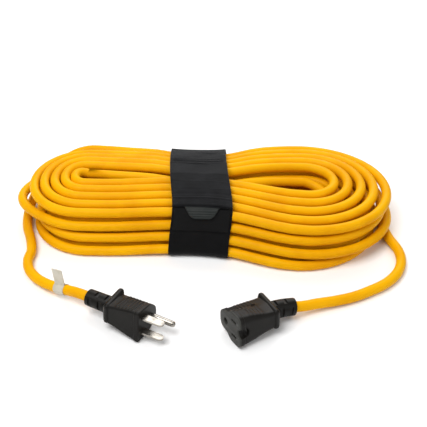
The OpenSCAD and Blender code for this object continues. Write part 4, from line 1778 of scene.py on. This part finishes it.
    def build(self) -> None:
        """Every piece of the strap."""
        f = self.finishes
        band = self.strip(self.band, self.stations())
        piece = self.finish_layer("strap_band_cloth", [band], f.webbing, "webbing", "root",
                                  "strap_band", wrap=Wrap.RING)
        self.declare(piece, band[0], ["cord"], ring=True)
        fold = self.place_at(self.fold_y, self.flap.inner + self.thick)
        hem = self.hem_place()
        tape_start, tape_stop = 1.75, self.shoulder + 0.72
        panel_foot = 1.62
        loops = self.strip(self.loops, self.cut(tape_start, tape_stop, 60))
        piece = self.finish_layer("strap_loops_cloth", [loops], f.hooks, "fastener_tape",
                                  "root", "strap_loop_tape")
        self.declare(piece, loops[0], ["strap_band_cloth"])
        hooks = self.strip(self.hooks, self.cut(fold + 0.01, hem - 0.02, 50))
        piece = self.finish_layer("strap_hooks_cloth", [hooks], f.hooks, "fastener_tape",
                                  "flap", "strap_hook_tape")
        self.declare(piece, hooks[0], ["strap_loops_cloth"])
        self.build_flap(fold, hem)
        self.build_panel(panel_foot, fold)
        self.build_tab()

    def run_from(self, stations: Stations, layer: Layer) -> Array:
        """Distance round the outline from the last station to each of them.

        Args:
            stations: the stations.
            layer: the layer.

        Returns:
            (n,) distances over the layer's outer side.
        """
        radius = np.full((len(stations[0]), 1), layer.inner + layer.thick)
        run = distances(self.outline(np.array([self.middle]), radius, *stations)[:, 0])
        return run[-1] - run

    def build_flap(self, fold: float, hem: float) -> None:
        """The closing flap with its folded hem and two rows of stitches.

        Args:
            fold: where it starts, in strands.
            hem: where it ends.
        """
        f = self.finishes
        flap = self.cut(fold, hem, 150)
        left = self.run_from(flap, self.flap)
        rise, seam_depth, crease_depth = 0.7, 0.35, 0.5
        past_hem = left - self.hem_depth
        hem_rise = rise * (1 - ease(past_hem / 1.2))
        seam = seam_depth * np.exp(-(((past_hem + self.row_gap) / 0.5) ** 2))
        crease = crease_depth * np.exp(-(((past_hem - 4.5) / 1.3) ** 2))
        end = quarter(left / 1.1, 0.02)
        grid = self.strip(self.flap, flap, swell=(hem_rise - seam - crease * 0.5) * end,
                          taper=end)
        piece = self.finish_layer("strap_flap_cloth", [grid], f.webbing, "webbing", "flap",
                                  "strap_flap", "flap_hem")
        self.declare(piece, grid[0], ["strap_hooks_cloth"])
        rows = (self.stitches(fold, hem, self.hem_depth - self.row_gap, 0.55)
                + self.stitches(fold, hem, 2.2, 0.6))
        self.finish_layer("hem_stitch_thread", rows, f.thread, "thread", "flap",
                          "hem_stitches")

    def stitches(self, start: float, stop: float,
                 from_stop: float, rise: float, count: int = 15) -> list[tuple[Array, Array]]:
        """A row of thread across the strap, each stitch a tube that dips at both ends.

        Args:
            start: where the layer starts, in strands.
            stop: where it ends.
            from_stop: the row's distance short of there.
            rise: height of the thread above the flap's outer side.
            count: stitches in the row.

        Returns:
            Each stitch as a grid and its map.
        """
        margin, half_stitch, half_thread = 3, 1.25, 0.3
        steps = np.linspace(-1, 1, 9)
        fine = self.cut(start, stop, 400)
        left = self.run_from(fine, self.flap)
        k = int(np.argmin(np.abs(left - from_stop)))
        at = tuple(part[k:k + 1] for part in fine)
        pitch = (self.width - 2 * margin) / count
        made = []
        for i in range(count):
            x0 = self.middle - (self.width - 2 * margin) / 2 + (i + 0.5) * pitch
            x = x0 + np.linspace(-half_stitch, half_stitch, len(steps))
            arch = rise + self.flap.thick - 0.5 * steps ** 4 - 0.05
            turn = np.full((1, 1), self.places(fine)[k] / self.count)
            line = self.lean(self.outline(
                x, (self.flap.inner + arch + self.ripple(x[None], turn)[0])[None], *at))[0]
            ahead = unit(np.gradient(line, axis=0))
            side = np.cross(ahead, [0.0, 0.0, 1.0])
            up = np.cross(side, ahead)
            ring = round_angles(8)
            r = half_thread * np.sqrt(1 - 0.9 * steps ** 6)[:, None, None]
            tube = line[:, None] + r * (np.cos(ring)[None, :, None] * side[:, None]
                                        + np.sin(ring)[None, :, None] * up[:, None])
            made.append((tube, tube[..., :2] * MM))
        return made

    def build_panel(self, foot: float, fold: float) -> None:
        """The back of the outer turn, sewn down behind the fold and at its foot.

        Args:
            foot: where it starts, in strands.
            fold: where the flap starts.
        """
        f = self.finishes
        sewn_over = 3.5
        top = fold - 0.012
        panel = self.cut(foot, top, 110)
        left = self.run_from(panel, self.flap)
        near = ease((left - 0.5) / sewn_over)
        end = quarter(left[0] - left, 0.02)
        grid, uv = self.strip(self.flap, panel, taper=end)
        low = self.loops.inner + self.loops.thick - self.flap.inner
        normal = grid - self.lean(self.outline(
            self.section(self.flap.width, self.flap.thick)[0], np.zeros(grid.shape[:2]),
            *panel))
        grid = grid + unit(normal) * (low * near)[:, None, None]
        piece = self.finish_layer("strap_panel_cloth", [(grid, uv)], f.webbing, "webbing",
                                  "root", "strap_back_panel")
        self.declare(piece, grid, ["strap_loops_cloth"])
        rows = self.stitches(foot, top, 4.0, 0.1) + self.stitches(foot, top, 8.0, 0.1)
        self.finish_layer("back_stitch_thread", rows, f.thread, "thread", "root",
                          "back_stitches")

    def build_tab(self) -> None:
        """The ribbed pull tab, a tongue that curls over the shoulder and hangs free."""
        length, thick, rows = 11.5, 1.4, 90
        curl, root_half, taper, tip_from, tip_inset = 46, 15.5, 6.5, 0.66, 4.0
        rib_pitch, rib_height, rib_stop = 2.0, 0.22, 0.93
        hinge_height, hinge_start, hinge_end = 42.0, 1.0, 6.0
        inner = self.hooks.inner + 0.1
        c = self.centres(np.array([self.middle]))[self.shoulder, 0]
        start = math.radians(self.hem_angle + 2)
        radius = inner + thick / 2
        v = np.concatenate([np.linspace(0, 0.04, 6)[:-1], np.linspace(0.04, 1, rows - 5)])
        run = v * length
        sweep = math.radians(curl)
        bend = np.minimum(run, radius * sweep)
        rest = run - bend
        a = start + bend / radius
        y = c[0] - radius * np.sin(a) - rest * np.cos(a)
        z = c[1] + radius * np.cos(a) - rest * np.sin(a)
        out = np.stack([-np.sin(a), np.cos(a)], axis=1)
        half = root_half - taper * v
        to_tip = np.clip((v - tip_from) / 0.34, 0, 1)
        half = half - tip_inset * (1 - np.sqrt(1 - to_tip ** 2))
        half = np.maximum(half, 0.4)
        across = crowded(25)
        near = np.clip((np.abs(across) - 0.94) / 0.06, 0, 1)
        side = np.sqrt(1 - near**2)
        ends = quarter(np.minimum(v, 1 - v) * length / 0.8, 0.03)
        ribs = rib_height * (0.5 - 0.5 * np.cos(run / rib_pitch * 2 * math.pi)) * ease(run - 1.5)
        ribs = ribs * (v < rib_stop)
        top = thick / 2 * side[None] * ends[:, None] + ribs[:, None] * side[None]
        low = -thick / 2 * side[None] * ends[:, None]
        x = np.concatenate([across, across[::-1]])[None] * half[:, None] + self.middle
        depth = np.concatenate([top, low[:, ::-1]], axis=1)
        points = np.stack([x, y[:, None] + depth * out[:, :1], z[:, None] + depth * out[:, 1:]],
                          axis=-1)
        grid = self.lean(points)
        piece = self.finish_layer("pull_tab_rubber", [(grid, carried(x, run[:, None]))],
                                  self.finishes.tab, "pull_tab", None, "pull_tab")
        bends = [tuple(((np.array([self.middle, across, hinge_height]) + CENTRE) * MM).tolist())
                 for across in (y[0] - hinge_start, y[0] - hinge_end)]
        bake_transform(piece)


# ---- the stage ---------------------------------------------------------------------------
@dataclass
class Studio:
    """Camera, pale floor and soft lights."""

    look: tuple[float, float, float] = (0.0, 0.0, 20.0)
    distance: float = 700.0
    elevation: float = 35.5
    azimuth: float = 3.0
    field_of_view: float = 30.0
    look_pixel: tuple[float, float] = (206.0, 201.0)
    frame_pixels: float = 427.0

    def aim(self, thing: bpy.types.Object, target: Vector) -> None:
        """Turns a camera or lamp to look at a point."""
        thing.rotation_mode = "QUATERNION"
        thing.rotation_quaternion = (target - thing.location).to_track_quat("-Z", "Y")

    def camera(self) -> None:
        """The camera: on a sphere round the look point, shifted to frame the object."""
        target = Vector(((np.array(self.look) + CENTRE) * MM).tolist())
        a, e = math.radians(self.azimuth), math.radians(self.elevation)
        back = Vector((math.sin(a) * math.cos(e), -math.cos(a) * math.cos(e), math.sin(e)))
        data = bpy.data.cameras.new("camera")
        data.sensor_width = 36.0
        data.lens = 18.0 / math.tan(math.radians(self.field_of_view) / 2)
        data.shift_x = (self.frame_pixels / 2 - self.look_pixel[0]) / self.frame_pixels
        data.shift_y = (self.look_pixel[1] - self.frame_pixels / 2) / self.frame_pixels
        thing = bpy.data.objects.new("camera", data)
        bpy.context.collection.objects.link(thing)
        thing.location = target + back * (self.distance * MM)
        self.aim(thing, target)
        bpy.context.scene.camera = thing

    def lamp(self, name: str, place: tuple[float, float, float], size: float,
             power: float) -> None:
        """A square soft light that looks at the hank.

        Args:
            name: its name.
            place: where it hangs, in metres.
            size: its side in metres.
            power: its power in watts.
        """
        data = bpy.data.lights.new(name, "AREA")
        data.shape = "SQUARE"
        data.size = size
        data.energy = power
        thing = bpy.data.objects.new(name, data)
        bpy.context.collection.objects.link(thing)
        thing.location = Vector(place)
        self.aim(thing, Vector((0.0, -0.03, 0.02)))

    def floor(self) -> None:
        """A wide pale floor with a faint mottling."""
        size = 6.0
        corners = np.array([[-size, -size, 0], [size, -size, 0], [size, size, 0],
                            [-size, size, 0]]) / MM - CENTRE
        piece = make_mesh("floor", corners, [np.array([[0, 1, 2, 3]])], None, None)
        shader = Shader("pale floor")
        cloud = shader.noise(shader.object_place(), scale=4.0, detail=3.0)
        shader.set(Base_Color=shader.mixed(cloud, (0.97, 0.97, 0.97), (0.94, 0.94, 0.94)),
                   Roughness=0.7, Specular_IOR_Level=0.2)
        piece.data.materials.append(shader.material)

    def build(self) -> None:
        """Camera, floor, lights and the light of the room."""
        self.camera()
        self.floor()
        self.lamp("key", (-0.45, -0.45, 1.25), 0.9, 15.5)
        self.lamp("fill", (0.9, -0.7, 0.8), 1.0, 3.2)
        self.lamp("back", (0.1, 1.0, 0.9), 1.0, 10.5)
        bpy.context.scene.view_settings.view_transform = "Standard"
        world = bpy.data.worlds.new("room")
        world.use_nodes = True
        world.node_tree.nodes["Background"].inputs[0].default_value = (1.0, 1.0, 1.0, 1.0)
        world.node_tree.nodes["Background"].inputs[1].default_value = 0.34
        bpy.context.scene.world = world


def dress_nodes(finishes: Finishes) -> None:
    """Gives the solids that stay in sight their finish."""
    table = {
        finishes.plated: ["line_blade", "neutral_blade", "ground_pin"],
        finishes.brass: ["line_contact", "neutral_contact", "ground_contact"],
        finishes.face: ["plug_core"],
        finishes.core: ["plug_line_wire", "plug_neutral_wire", "plug_ground_wire",
                        "connector_line_wire", "connector_neutral_wire",
                        "connector_ground_wire"],
    }
    for material, names in table.items():
        for name in names:
            coat(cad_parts[name].data, material)
            LOG.info("%s: %s", name, material.name)


def main() -> None:
    """Builds the object's looks in order."""
    logging.basicConfig(level=logging.INFO, format="%(name)s %(message)s")
    finishes = Finishes()
    winding = Winding()
    Studio().build()
    cord, path = Cord(winding, finishes).build()
    Strap(winding, finishes).build()
    plug = plug_moulding().build(finishes.moulding, 0.0, "plug_body")
    connector = connector_moulding()
    connector.build(finishes.moulding, FACE_DEPTH + 0.4, "connector_body")
    connector.build_face(finishes.face, slot_outlines(), ENTRY_DEPTH, FACE_DEPTH,
                         "connector_carrier")
    label = build_label(path, finishes)
    dress_nodes(finishes)


if __name__ == "__main__":
    main()
